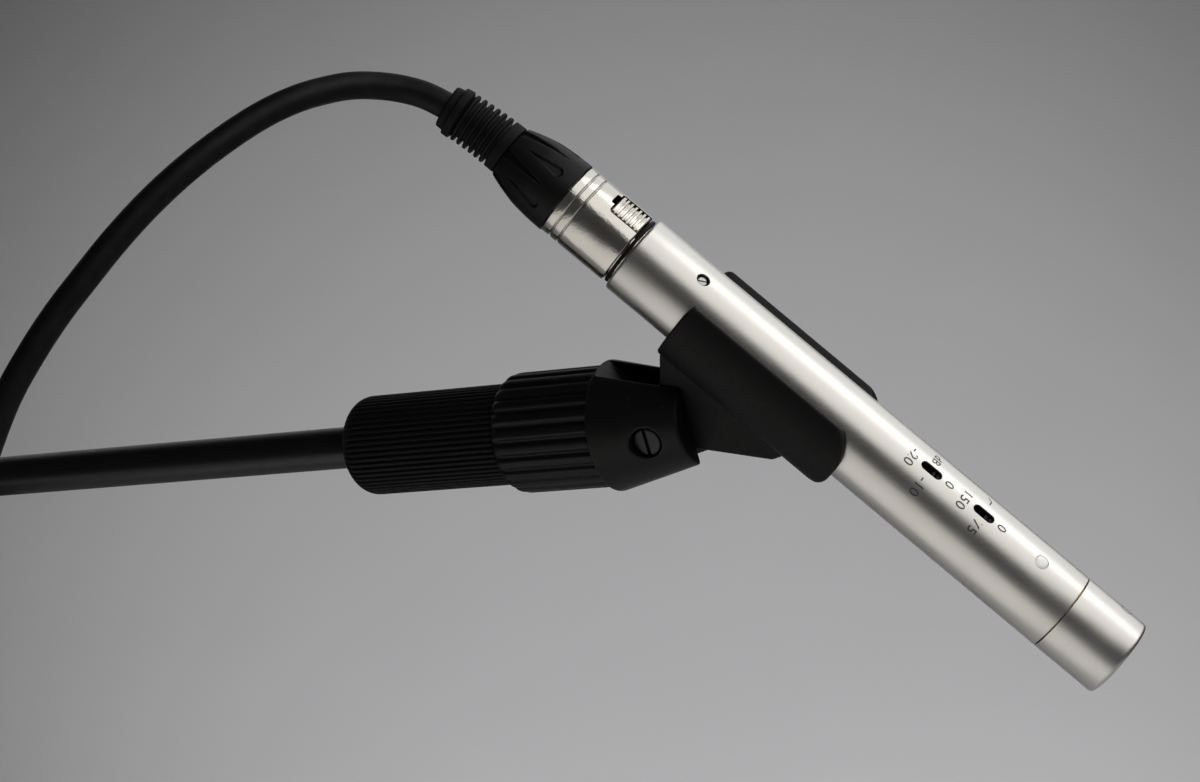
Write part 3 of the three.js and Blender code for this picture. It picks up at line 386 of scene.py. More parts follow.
# ---------------------------------------------------------------- materials
class Finish:
    """A procedural material, built round a Principled shader."""

    def __init__(self, name, **constants):
        self.material = bpy.data.materials.new(name)
        self.material.use_nodes = True
        self.nodes = self.material.node_tree.nodes
        self.links = self.material.node_tree.links
        self.shader = self.nodes["Principled BSDF"]
        self.coordinates = self.nodes.new("ShaderNodeTexCoord")
        self.normal = None
        for socket, value in constants.items():
            self.shader.inputs[socket.replace("_", " ")].default_value = value

    def texture(self, kind, source="Object", stretch=(1, 1, 1), **sockets):
        """A texture node, its coordinates stretched along the axes."""
        mapping = self.nodes.new("ShaderNodeMapping")
        mapping.inputs["Scale"].default_value = stretch
        self.links.new(self.coordinates.outputs[source], mapping.inputs["Vector"])
        node = self.nodes.new(kind)
        for socket, value in sockets.items():
            node.inputs[socket].default_value = value
        self.links.new(mapping.outputs["Vector"], node.inputs["Vector"])
        return node

    def noise(self, scale, detail=4, stretch=(1, 1, 1), source="Object"):
        """Noise with features about 1 / scale metres wide."""
        node = self.texture("ShaderNodeTexNoise", source, stretch, Scale=scale, Detail=detail, Roughness=0.6)
        return node.outputs["Fac"]

    def cells(self, scale):
        return self.texture("ShaderNodeTexVoronoi", Scale=scale).outputs["Distance"]

    def wave(self, scale, distortion=0.0, direction="X", stretch=(1, 1, 1), source="Object"):
        node = self.texture("ShaderNodeTexWave", source, stretch, Scale=scale, Distortion=distortion)
        node.bands_direction = direction
        return node.outputs["Fac"]

    def pointiness(self):
        return self.nodes.new("ShaderNodeNewGeometry").outputs["Pointiness"]

    def ranged(self, value, low, high, out_low, out_high):
        node = self.nodes.new("ShaderNodeMapRange")
        for socket, number in zip(("From Min", "From Max", "To Min", "To Max"), (low, high, out_low, out_high)):
            node.inputs[socket].default_value = number
        self.links.new(value, node.inputs["Value"])
        return node.outputs["Result"]

    def product(self, a, b):
        node = self.nodes.new("ShaderNodeMath")
        node.operation = "MULTIPLY"
        self.links.new(a, node.inputs[0])
        self.links.new(b, node.inputs[1])
        return node.outputs["Value"]

    def mixed(self, amount, first, second):
        """A colour between two, each a colour or another node's output."""
        node = self.nodes.new("ShaderNodeMix")
        node.data_type = "RGBA"
        self.links.new(amount, node.inputs["Factor"])
        for socket, colour in ((node.inputs[6], first), (node.inputs[7], second)):
            if isinstance(colour, tuple):
                socket.default_value = (*colour, 1)
            else:
                self.links.new(colour, socket)
        return node.outputs[2]

    def colour(self, output):
        self.links.new(output, self.shader.inputs["Base Color"])

    def roughness(self, pattern, low, high):
        """Spreads a noise over a range of roughness."""
        self.links.new(self.ranged(pattern, 0.3, 0.7, low, high), self.shader.inputs["Roughness"])

    def bump(self, height, depth_mm):
        """Adds a height pattern that deep to the surface, on top of those before it."""
        node = self.nodes.new("ShaderNodeBump")
        node.inputs["Distance"].default_value = depth_mm * MM
        self.links.new(height, node.inputs["Height"])
        if self.normal is not None:
            self.links.new(self.normal, node.inputs["Normal"])
        self.normal = node.outputs["Normal"]
        self.links.new(self.normal, self.shader.inputs["Normal"])


def coated(name, tints, rough, *bumps, **constants):
    """A finish from noises: one with the two colours it mixes, one with its range of roughness, and bumps."""
    made = Finish(name, **constants)
    made.colour(made.mixed(made.noise(*tints[0]), *tints[1:]))
    made.roughness(made.noise(*rough[0]), *rough[1:])
    for pattern, depth in bumps:
        made.bump(made.noise(*pattern), depth)
    return made.material


def satin_nickel():
    """Bead-blasted nickel plate."""
    made = Finish("satin_nickel", Metallic=1.0)
    cloud = made.noise(90, 3)
    made.colour(made.mixed(cloud, (0.80, 0.775, 0.73), (0.87, 0.845, 0.80)))
    made.roughness(cloud, 0.30, 0.36)
    made.bump(made.noise(5200, 2), 0.012)
    made.bump(made.noise(1500, 3), 0.006)
    return made.material


def ink():
    """The printed marks on the microphone."""
    made = Finish("ink", Specular_IOR_Level=0.4)
    grain = made.noise(3000, 2)
    made.colour(made.mixed(grain, (0.085, 0.082, 0.078), (0.14, 0.135, 0.128)))
    made.roughness(grain, 0.45, 0.6)
    made.bump(grain, 0.01)
    return made.material


def moulding(name, tints, pale, worn, rough, skin, specular):
    """Satin plastic with a spark-eroded skin, a little paler where it is rubbed."""
    made = Finish(name, Specular_IOR_Level=specular)
    body = made.mixed(made.noise(*tints[0]), *tints[1:])
    edges = made.ranged(made.pointiness(), 0.505, 0.56, 0.0, 1.0)
    rubbed = made.product(edges, made.ranged(made.noise(*worn), 0.35, 0.7, 0.2, 1.0))
    made.colour(made.mixed(rubbed, body, pale))
    made.roughness(made.noise(*rough[0]), *rough[1:])
    made.bump(made.noise(*skin[0]), skin[1])
    return made.material


def cable_jacket():
    """Soft PVC: the twisted cores show faintly, and pale streaks run along it, partly handling dust and partly
    painted sheen.
    """
    made = Finish("cable_jacket", Specular_IOR_Level=0.25)
    streak = made.noise(6, 6, stretch=(1, 40, 1), source="UV")
    # pale streaks: dust on the jacket, and painted sheen that stands in for its soft highlights
    dust_and_sheen = made.ranged(streak, 0.45, 0.8, 0.0, 1.0)
    made.colour(made.mixed(dust_and_sheen, (0.0038, 0.0038, 0.0038), (0.0120, 0.0120, 0.0120)))
    made.roughness(made.noise(400, 4), 0.45, 0.62)
    made.bump(made.wave(0.32, direction="DIAGONAL", stretch=(6.2832, 120, 1), source="UV"), 0.03)
    made.bump(made.noise(1500, 3), 0.015)
    return made.material


def hook_and_loop():
    made = Finish("hook_and_loop", Sheen_Weight=0.5, Sheen_Roughness=0.5)
    loops = made.cells(1400)
    made.colour(made.mixed(loops, (0.028, 0.028, 0.03), (0.008, 0.008, 0.009)))
    made.roughness(made.noise(600, 4), 0.85, 0.97)
    made.bump(loops, 0.3)
    made.bump(made.noise(3000, 4), 0.12)
    return made.material


def metal(name, dark, light, rough):
    """A turned or drawn metal, with marks round its axis."""
    made = Finish(name, Metallic=1.0)
    turned = made.noise(300, 4, stretch=(0.4, 0.4, 14))
    made.colour(made.mixed(made.noise(150, 3), dark, light))
    made.roughness(turned, rough, rough + 0.14)
    made.bump(turned, 0.008)
    return made.material


def circuit_board():
    """Green solder mask over rows of tracks."""
    made = Finish("circuit_board", Coat_Weight=0.4, Coat_Roughness=0.2)
    tracks = made.ranged(made.wave(260, 6.0, "Y"), 0.55, 0.62, 0.0, 1.0)
    made.colour(made.mixed(tracks, (0.012, 0.085, 0.040), (0.030, 0.150, 0.070)))
    made.roughness(made.noise(700, 3), 0.3, 0.45)
    made.bump(tracks, 0.035)
    return made.material


SATIN_NICKEL = satin_nickel()
INK = ink()
BRIGHT_NICKEL = coated(  # tumbled, plated die casting, with a fine pebbled skin
    "bright_nickel",
    ((160, 4), (0.70, 0.665, 0.60), (0.88, 0.85, 0.79)),
    ((700, 4), 0.11, 0.21),
    ((1900, 3), 0.034),
    ((420, 2), 0.026),
    Metallic=1.0,
)
BLACK_PLASTIC = moulding(
    "black_plastic",
    ((70, 5), (0.0040, 0.0040, 0.0039), (0.0070, 0.0070, 0.0068)),
    pale=(0.024, 0.024, 0.024),
    worn=(240, 4),
    rough=((900, 3), 0.40, 0.52),
    skin=((2600, 2), 0.018),
    specular=0.28,
)
CLIP_PLASTIC = moulding(  # the clip's nylon: greyer and duller than the base, with a leathery skin
    "clip_plastic",
    ((55, 5), (0.0050, 0.0051, 0.0049), (0.0082, 0.0083, 0.0079)),
    pale=(0.028, 0.028, 0.028),
    worn=(200, 4),
    rough=((800, 3), 0.5, 0.62),
    skin=((1700, 3), 0.02),
    specular=0.26,
)
BLACK_RUBBER = coated(
    "black_rubber",
    ((120, 5), (0.0038, 0.0038, 0.0038), (0.0080, 0.0080, 0.0080)),
    ((600, 4), 0.55, 0.72),
    ((2100, 3), 0.02),
    Specular_IOR_Level=0.25,
)
BLACK_PAINT = coated(  # powder coat
    "black_paint",
    ((60, 4, (1, 1, 0.2)), (0.0030, 0.0030, 0.0031), (0.0055, 0.0055, 0.0057)),
    ((500, 4), 0.30, 0.42),
    ((1100, 2), 0.03),
    Specular_IOR_Level=0.5,
)
ENAMEL = coated(
    "enamel",
    ((900, 3), (0.93, 0.92, 0.89), (0.97, 0.965, 0.94)),
    ((1500, 3), 0.3, 0.42),
    ((1800, 2), 0.008),
    Metallic=0.6,
    Coat_Weight=0.3,
    Coat_Roughness=0.3,
)
CLEAR_PLASTIC = coated(
    "clear_plastic",
    ((200, 3), (0.62, 0.60, 0.52), (0.72, 0.70, 0.62)),
    ((500, 3), 0.3, 0.45),
    ((1400, 2), 0.01),
    Specular_IOR_Level=0.5,
)
MEMBRANE = coated(  # gold-sputtered film with its tension ripples
    "membrane",
    ((600, 3), (0.86, 0.62, 0.26), (0.94, 0.74, 0.38)),
    ((900, 3), 0.12, 0.2),
    ((500, 2), 0.01),
    Metallic=1.0,
)
CABLE_JACKET = cable_jacket()
HOOK_AND_LOOP = hook_and_loop()
STEEL = metal("steel", (0.46, 0.46, 0.47), (0.58, 0.58, 0.59), 0.24)
BRASS = metal("brass", (0.60, 0.43, 0.17), (0.72, 0.54, 0.24), 0.26)
GOLD = metal("gold", (0.83, 0.60, 0.24), (0.93, 0.71, 0.33), 0.16)

# ---------------------------------------------------------------- lead
# The stretch that isn't coiled, from the plug's clamp to where it joins the coil.
CORD_ROUTE = [
    (270.3, -25.9, 55.6),
    (266.1, -28.1, 60.2),
    (261.8, -30.2, 64.9),
    (257.8, -32.3, 69.0),
    (253.7, -34.5, 72.8),
    (249.6, -37.0, 76.3),
    (245.1, -39.7, 79.3),
    (240.5, -42.8, 81.1),
    (236.4, -47.0, 81.9),
    (232.9, -52.2, 81.8),
    (229.7, -58.0, 80.6),
    (226.4, -64.4, 78.6),
    (221.8, -71.3, 75.1),
    (216.1, -79.9, 69.1),
    (210.4, -87.3, 62.5),
    (204.7, -93.5, 55.4),
    (199.3, -99.0, 47.8),
    (194.0, -103.8, 39.8),
    (188.6, -108.1, 31.7),
    (183.5, -111.7, 23.2),
    (178.3, -114.6, 13.8),
    (170.5, -115.2, -0.5),
    (160.0, -114.6, -20.0),
    (146.0, -112.4, -40.0),
    (128.0, -107.0, -57.5),
    (106.0, -97.0, -68.5),
    (82.0, -81.5, -72.0),
    (64.0, -67.0, -70.5),
    (53.0, -56.5, -68.0),
    (43.4, -45.2, -65.0),
    (37.8, -35.0, -63.6),
    (35.9, -24.6, -63.2),
]


def through(points, steps):
    """A centripetal Catmull-Rom curve through points, with that many steps between each two."""
    points = [Vector(p) for p in points]
    ends = [2 * points[0] - points[1], *points, 2 * points[-1] - points[-2]]
    line = []
    for p0, p1, p2, p3 in zip(ends, ends[1:], ends[2:], ends[3:]):
        d0, d1, d2 = math.sqrt((p1 - p0).length), math.sqrt((p2 - p1).length), math.sqrt((p3 - p2).length)
        leave = ((p1 - p0) / d0 - (p2 - p0) / (d0 + d1) + (p2 - p1) / d1) * d1
        arrive = ((p2 - p1) / d1 - (p3 - p1) / (d1 + d2) + (p3 - p2) / d2) * d1
        for k in range(steps):
            t = k / steps
            bend = (-3 * p1 + 3 * p2 - 2 * leave - arrive) * t**2
            line.append(p1 + leave * t + bend + (2 * p1 - 2 * p2 + leave + arrive) * t**3)
    return [*line, points[-1]]


def coil_line():
    """The coil's turns: in and out through three layers, one column of the coil after another."""
    inner = COIL_MEAN_R - COIL_PITCH - CORD_R
    centre_z = ROD_R + GAP - inner
    layers = [COIL_MEAN_R + COIL_PITCH, COIL_MEAN_R, COIL_MEAN_R - COIL_PITCH]
    columns = [COIL_X + COIL_PITCH * side for side in (1.5, 0.5, -0.5, -1.5)]
    lanes = []
    for i, x in enumerate(columns):
        lanes += [(x, r) for r in (layers if i % 2 == 0 else layers[::-1])]
    # In turns. The lanes are a little less than a turn long, so each change comes earlier round the coil
    # than the one before, and no two strands cross.
    turns, first_change, lane_length, change_length = 10.75, 0.85, 0.895, 0.08
    steps = 72
    line = []
    for step in range(1, int(turns * steps) + 1):
        turn = step / steps
        lane = min(max(math.floor((turn - first_change) / lane_length), 0), len(lanes) - 2)
        moved = min(max((turn - first_change - lane * lane_length) / change_length, 0), 1)
        moved = moved * moved * (3 - 2 * moved)
        here, after = lanes[lane], lanes[lane + 1]
        x = here[0] + (after[0] - here[0]) * moved
        r = here[1] + (after[1] - here[1]) * moved
        angle = 2 * math.pi * turn - math.pi / 2
        line.append(Vector((x, r * math.cos(angle), centre_z + r * math.sin(angle))))
    return line


def straight(start, end, spacing):
    start, end = Vector(start), Vector(end)
    count = math.ceil((end - start).length / spacing)
    return [start.lerp(end, k / count) for k in range(1, count + 1)]


def tube(name, line, r, sides=20):
    """A closed tube along a line, with UVs: once round it across, and metres along it."""
    vertices, faces, along = [], [], [0.0]
    for a, b in zip(line, line[1:]):
        along.append(along[-1] + (b - a).length)
    side = Vector((0, 1, 0))
    for i, point in enumerate(line):
        heading = (line[min(i + 1, len(line) - 1)] - line[max(i - 1, 0)]).normalized()
        side = (side - heading * heading.dot(side)).normalized()
        other = heading.cross(side)
        for k in range(sides):
            turn = 2 * math.pi * k / sides
            vertices.append((point + side * (r * math.cos(turn)) + other * (r * math.sin(turn))) * MM)
        if i:
            base = (i - 1) * sides
            for k in range(sides):
                n = (k + 1) % sides
                faces.append((base + k, base + n, base + sides + n, base + sides + k))
    last = (len(line) - 1) * sides
    faces += [tuple(range(sides))[::-1], tuple(range(last, last + sides))]
    mesh = bpy.data.meshes.new(name)
    mesh.from_pydata(vertices, [], faces)
    uv = mesh.uv_layers.new(name="along")
    for face in mesh.polygons:
        corners = [mesh.loops[i].vertex_index for i in face.loop_indices]
        wraps = any(v % sides == sides - 1 for v in corners) and any(v % sides == 0 for v in corners)
        for loop, v in zip(face.loop_indices, corners):
            across = (v % sides) / sides
            across = 1.0 if wraps and v % sides == 0 else across
            uv.data[loop].uv = (across, along[v // sides] * MM)
    return object_from(name, mesh, Matrix.Identity(4))


def lead():
    route = through(CORD_ROUTE, 6)
    turns = coil_line()
    bottom = turns[0].copy()
    bottom.y, bottom.z = 0, CORD_ROUTE[-1][2]
    into_coil = straight(route[-1], bottom, 4)
    tail_end = Vector(turns[-1])
    tail_end.z = TAIL_HIGH.z / MM - TAIL_LENGTH
    line = [*route, *into_coil, *turns, *straight(turns[-1], tail_end, 3)]
    cord = tube("lead", line, CORD_R)
    cord.data.materials.append(CABLE_JACKET)
    shade(cord, 60)
    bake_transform(cord)
    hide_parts("cord_free", "cord_coil", "cord_tail")
    return cord, [tuple(point * MM) for point in line]


cord, cord_line = lead()


def coil_tie():
    """A hook-and-loop strap round the coil, with its free end lapped over the outside."""
    low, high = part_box("coil_tie")
    low, high = low / MM, high / MM
    thick, lap = 1.5, 1.1
    corner, half = 4.5, (high.z - low.z) / 2
    x0, x1, y0, y1 = low.x, high.x, low.y, high.y

    def rounded_box(inset, r):
        r = max(r - inset, 1.5)
        return [
            *arc(x1 - inset - r, y1 - inset - r, r, 0, 90, 8),
            *arc(x0 + inset + r, y1 - inset - r, r, 90, 180, 8),
            *arc(x0 + inset + r, y0 + inset + r, r, 180, 270, 8),
            *arc(x1 - inset - r, y0 + inset + r, r, 270, 360, 8),
        ]

    place = shift(0, 0, (low.z + high.z) / 2)
    band = prism("coil_tie_band", rounded_box(0, corner), -half, half, place)
    carve(band, prism("hole", rounded_box(thick, corner), -half - 2, half + 2, place))
    flap_outline = [
        *arc(x0 + corner, y0 + corner, corner + lap, 200, 270, 6),
        *[(x0 + corner + (x1 - x0 - 2 * corner) * k / 6, y0 - lap) for k in range(1, 6)],
        (x1 - corner - 2, y0 - lap),
        (x1 - corner - 2, y0 + 0.2),
        *[(x0 + corner + (x1 - x0 - 2 * corner) * k / 6, y0 + 0.2) for k in range(5, 0, -1)],
        *arc(x0 + corner, y0 + corner, corner - 0.2, 270, 200, 6),
    ]
    flap = prism("flap", flap_outline, -half + 0.6, half - 0.6, place)
    join(band, flap)
    bevelled(band, 0.3)
    return place_piece(band, HOOK_AND_LOOP, "boom", "hook_and_loop", "coil_tie")


# ---------------------------------------------------------------- boom rod, sleeve and base
def pulse(phase, duty, edge):
    """1 in the part of a turn round phase 0, falling smoothly to 0 past the duty's half width."""
    away = abs((phase + 0.5) % 1 - 0.5)
    t = min(max((away - duty / 2) / edge + 0.5, 0), 1)
    return 1 - t * t * (3 - 2 * t)


def on_rod(node):
    """The frame on the rod's line at a CAD node's rear end."""
    return axes_at((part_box(node)[0].x, 0, 0), PIVOT_AXIS, (1, 0, 0))


def boom_rod():
    low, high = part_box("boom_rod")
    length = (high.x - low.x) / MM
    wall = [(ROD_R - 1, 0), (ROD_R, 0), (ROD_R, length), (ROD_R - 1, length)]
    tube_piece = lathe("rod_tube", filled(soft(wall, 0.25), 8), on_rod("boom_rod"), 64)
    place_piece(tube_piece, BLACK_PAINT, "boom", "black_paint", "boom_rod")
    end = [(0, 0), (ROD_R, 0, 1.0), (ROD_R, 1.5, 0.2), (ROD_R - 1.3, 1.5, 0.1), (ROD_R - 1.5, 13.9), (0, 13.9)]

    def barbed(r, angle, z):
        return r + 0.2 * pulse((z - 4) / 3, 0.3, 0.2) * (2 < z < 13) * (r > 3)

    cap = lathe("rod_cap", filled(soft(end, 0.3, closed=False), 0.4), on_rod("rod_end_plug"), 48, barbed)
    place_piece(cap, BLACK_PLASTIC, "boom", "black_plastic", "rod_end_plug")


def ribs(r, angle, count, depth, reach):
    """Rounded ribs with narrow grooves between them, fading out where the body rounds off."""
    return r - depth * pulse(count * angle / (2 * math.pi), 0.34, 0.30) * reach


def boom_sleeve():
    bore = ROD_R + GAP + 0.05
    nose = arc(SLEEVE_R - 5, 5, 5, -90, 0, 12)
    outline = [
        (bore, 0, 0.3),
        *[(r, z, 0) for r, z in nose],
        (SLEEVE_R, SLEEVE_LENGTH, 0.35),
        (bore, SLEEVE_LENGTH, 0.3),
    ]

    def fluted(r, angle, z):
        if r < SLEEVE_R - 3.4:
            return r
        return ribs(r, angle, SLEEVE_RIBS, 0.55, min(1, (r - SLEEVE_R + 3.4) / 2))

    sleeve = lathe("sleeve_grip", filled(soft(outline), 4), on_rod("boom_sleeve"), SLEEVE_RIBS * 12, fluted)
    return place_piece(sleeve, BLACK_RUBBER, "sleeve", "black_rubber", "boom_sleeve", sharp=50)


def clip_base():
    barrel_outline = [
        (0, -BARREL_REAR),
        (INSERT_R + GAP, -BARREL_REAR),
        (BARREL_R, -BARREL_REAR, 3),
        (BARREL_R, -YOKE_RIM + 0.6, 0),
        (0, -YOKE_RIM + 0.6),
    ]

    def fluted(r, angle, z):
        if r < BARREL_R - 1.6:
            return r
        reach = min(1, (r - BARREL_R + 1.6) / 1.2)
        return ribs(r, angle, BARREL_RIBS, 0.85, reach)

    barrel = lathe("barrel", filled(soft(barrel_outline, 0.3, 6, closed=False), 1.5), BASE, BARREL_RIBS * 14, fluted)
    cone_outline = [(0, -YOKE_RIM), (YOKE_RIM_R, -YOKE_RIM, 0.6), (YOKE_NOSE_R, YOKE_NOSE, 0.8), (0, YOKE_NOSE)]
    cone = lathe("yoke", soft(cone_outline, 0.3, 4, closed=False), BASE, 160)
    reach = YOKE_RIM_R + 2
    nose = YOKE_NOSE + 2
    slot_outline = [
        (-reach, nose),
        (reach, nose),
        (reach, -YOKE_RIM - 1.2),
        (SLOT_FLOOR_HALF, -SLOT_FLOOR),
        (-SLOT_FLOOR_HALF, -SLOT_FLOOR),
        (-reach, -YOKE_RIM - 1.2),
    ]
    slot = prism("slot", slot_outline, -YOKE_SLOT_HALF, YOKE_SLOT_HALF, BASE, "XZ")
    head_seat = rod("seat", PIVOT_HEAD_R + GAP, PIVOT_SEAT - GAP, 20, PIVOT_LINE, 48)
    nut_seat = rod("seat", PIVOT_NUT_R + GAP, -20, GAP - PIVOT_SEAT, PIVOT_LINE, 6)
    shank = rod("shank", PIVOT_SHANK_R + GAP, -20, 20, PIVOT_LINE)
    carve(cone, slot, shank, head_seat, nut_seat)
    join(cone, barrel)
    moulded(cone, 0.26, 5)
    carve(cone, rod("bore", INSERT_R + GAP, -BARREL_REAR - 2, INSERT_LENGTH - BARREL_REAR, BASE, 64))
    cone.name = "base_moulding"
    return place_piece(cone, BLACK_PLASTIC, "boom", "black_plastic", "clip_base", sharp=50)


def pivot_fasteners():
    top = PIVOT_SEAT + 2.6
    bottom = -PIVOT_SEAT - 2.8
    screw_outline = [
        (0, bottom + GAP),
        (PIVOT_SHANK_R, bottom + GAP, 0.4),
        (PIVOT_SHANK_R, PIVOT_SEAT, 0.1),
        (PIVOT_HEAD_R, PIVOT_SEAT, 0.15),
        (PIVOT_HEAD_R, top, 0.5),
        (0, top),
    ]
    screw = lathe("pivot_screw_head", soft(screw_outline, closed=False), PIVOT_LINE, 48)
    drive = prism("drive", [(-5, -0.5), (5, -0.5), (5, 0.5), (-5, 0.5)], top - 1, top + 1, PIVOT_LINE)
    carve(screw, drive)
    place_piece(screw, BLACK_PAINT, "boom", "black_paint", "pivot_screw")
    nut_outline = [
        (PIVOT_SHANK_R + GAP, bottom),
        (PIVOT_NUT_R - 0.4, bottom, 0),
        (PIVOT_NUT_R, bottom + 0.35, 0),
        (PIVOT_NUT_R, -PIVOT_SEAT, 0.1),
        (PIVOT_SHANK_R + GAP, -PIVOT_SEAT),
    ]
    nut = lathe("pivot_nut_hex", soft(nut_outline, 0.1, 2), PIVOT_LINE, 6)
    place_piece(nut, BLACK_PAINT, "boom", "black_paint", "pivot_nut", sharp=20)


# ---------------------------------------------------------------- clip
def clip():
    inner = MIC_R + GAP
    mouth = CLIP_HALF_MOUTH
    section = [
        *arc(-CLIP_OFFSET, 0, CLIP_OUTER_R, mouth, 360 - mouth, 120),
        *arc(0, 0, inner, 360 - mouth, mouth, 120),
    ]
    jaws = prism("clip_moulding", section, CLIP_REAR - 1, CLIP_FRONT + 1, MIC)
    low = -CLIP_OUTER_R - CLIP_OFFSET - 0.4
    high = CLIP_JAW_HEIGHT
    r, rear_r = CLIP_CORNER, CLIP_REAR_CORNER
    side = [
        *arc(low + rear_r, CLIP_REAR + rear_r, rear_r, 180, 270, 16),
        *arc(high - rear_r, CLIP_REAR + rear_r, rear_r, 270, 360, 16),
        *arc(high - r, CLIP_FRONT - r, r, 0, 90, 20),
        *arc(low + r, CLIP_FRONT - r, r, 90, 180, 20),
    ]
    reach = CLIP_OUTER_R + 2
    carve(jaws, prism("side", side, -reach, reach, MIC, "XZ"), operation="INTERSECT")
    tongue = arc(-STEM, STEM, TONGUE_R, 276.3, 86.6, 60)
    web_outline = [(-12, 19.4), (-14, 19.4), (-21, 24), *tongue, (-16.8, 55.7), (-12, 58)]
    web = prism("web", web_outline, -TONGUE_HALF, TONGUE_HALF, MIC, "XZ")
    across = MIC @ shift(-STEM, 0, STEM) @ Matrix.Rotation(math.pi / 2, 4, "X")
    hole = rod("hole", PIVOT_SHANK_R + GAP, -20, 20, across)
    bore = rod("bore", inner, 10, 80, MIC, 160)
    carve(web, hole, bore)
    join(jaws, web)
    moulded(jaws, 0.3, 12)
    return place_piece(jaws, CLIP_PLASTIC, "clip", "black_plastic", "clip_body", sharp=70)


# ---------------------------------------------------------------- microphone body
def on_tube(mesh_object, azimuth, station, r_low, r_high):
    """Wraps a flat drawing round the microphone: x reads round it, y to the capsule, z from deep to proud."""
    for vertex in mesh_object.data.vertices:
        x, y, z = vertex.co / MM
        turn = math.radians(azimuth) + x / MIC_R
        r = r_low if z < 0 else r_high
        vertex.co = Vector((r * math.cos(turn), r * math.sin(turn), station + y)) * MM
    weld(mesh_object.data, 2e-6)
    return mesh_object


PRINT = (MIC_R - 0.05, MIC_R + 0.012)  # radii between which the marks lie


def number(text, height, azimuth, station):
    """One printed number."""
    curve = bpy.data.curves.new("number", "FONT")
    curve.body = text
    curve.align_x = "CENTER"
    curve.align_y = "CENTER"
    curve.size = height * 1.38 * MM
    curve.space_character = 1.1
    curve.offset = 0.008 * height * MM
    curve.extrude = 1 * MM
    curve.resolution_u = 3
    flat = object_from("number", curve, Matrix.Identity(4))
    mesh = bpy.data.meshes.new_from_object(flat)
    bpy.data.objects.remove(flat)
    return on_tube(object_from("number", mesh, MARKS), azimuth, station, *PRINT)


def drawn(points, width, azimuth, station, closed=False):
    """One printed line."""
    points = [Vector(p) for p in points]
    count = len(points)
    vertices, faces = [], []
    for i, point in enumerate(points):
        after = points[(i + 1) % count] if closed or i + 1 < count else point
        before = points[i - 1] if closed or i else point
        along = (after - before).normalized()
        normal = Vector((-along.y, along.x)) * (width / 2)
        for side in (point + normal, point - normal):
            vertices += [(side.x, side.y, -1), (side.x, side.y, 1)]
    for i in range(count if closed else count - 1):
        a, b = 4 * i, 4 * ((i + 1) % count)
        faces += [(a, b, b + 1, a + 1), (a + 2, a + 3, b + 3, b + 2)]
        faces += [(a, a + 2, b + 2, b), (a + 1, b + 1, b + 3, a + 3)]
    if not closed:
        last = 4 * (count - 1)
        faces += [(0, 1, 3, 2), (last, last + 2, last + 3, last + 1)]
    return on_tube(build("line", vertices, faces, MARKS), azimuth, station, *PRINT)


def slot_cutter(station):
    """A round-ended slot through the wall, with its outer edge broken."""
    half = (SLOT_LENGTH - SLOT_WIDTH) / 2
    r = SLOT_WIDTH / 2
    rings = [(MIC_R - 3, r), (MIC_R - 0.16, r), (MIC_R + 0.05, r + 0.16), (MIC_R + 1, r + 0.16)]
    vertices, faces = [], []
    for x, radius in rings:
        outline = [*arc(0, half, radius, 0, 180, 16), *arc(0, -half, radius, 180, 360, 16)]
        vertices += [(x, u, station + v) for u, v in outline]
    count = len(vertices) // len(rings)
    for level in range(len(rings) - 1):
        for i in range(count):
            j = (i + 1) % count
            a = level * count
            faces.append((a + i, a + j, a + count + j, a + count + i))
    faces += [tuple(range(count)), tuple(range(3 * count, 4 * count))]
    return build("slot", vertices, faces, MARKS)


def radial(profile, station, segments=32):
    """A small body turned about the line out through the marks at a station."""
    place = MARKS @ shift(0, 0, station) @ Matrix.Rotation(math.pi / 2, 4, "Y")
    return lathe("radial", profile, place, segments)


def marks():
    """The two switches' numbers and signs."""
    made = [
        number("-20", 2.5, 3, PAD_STATION - 5.6),
        number("-10", 2.5, 30, PAD_STATION - 0.2),
        number("dB", 2.3, -21.5, PAD_STATION - 0.4),
        number("0", 2.4, 0, PAD_STATION + 5.1),
        number("150", 2.5, 2, FILTER_STATION - 5.6),
        number("75", 2.5, 23.5, FILTER_STATION),
        number("0", 2.4, 0, FILTER_STATION + 5.1),
    ]
    rise = [(-1.1 + 0.9 * k / 5, -0.7 + 1.1 * math.sin(math.pi / 2 * k / 5)) for k in range(6)]
    made.append(drawn([*rise, (0.4, 0.4), (1.2, 0.4)], 0.3, -26, FILTER_STATION - 0.5))
    return join(made[0], *made[1:])


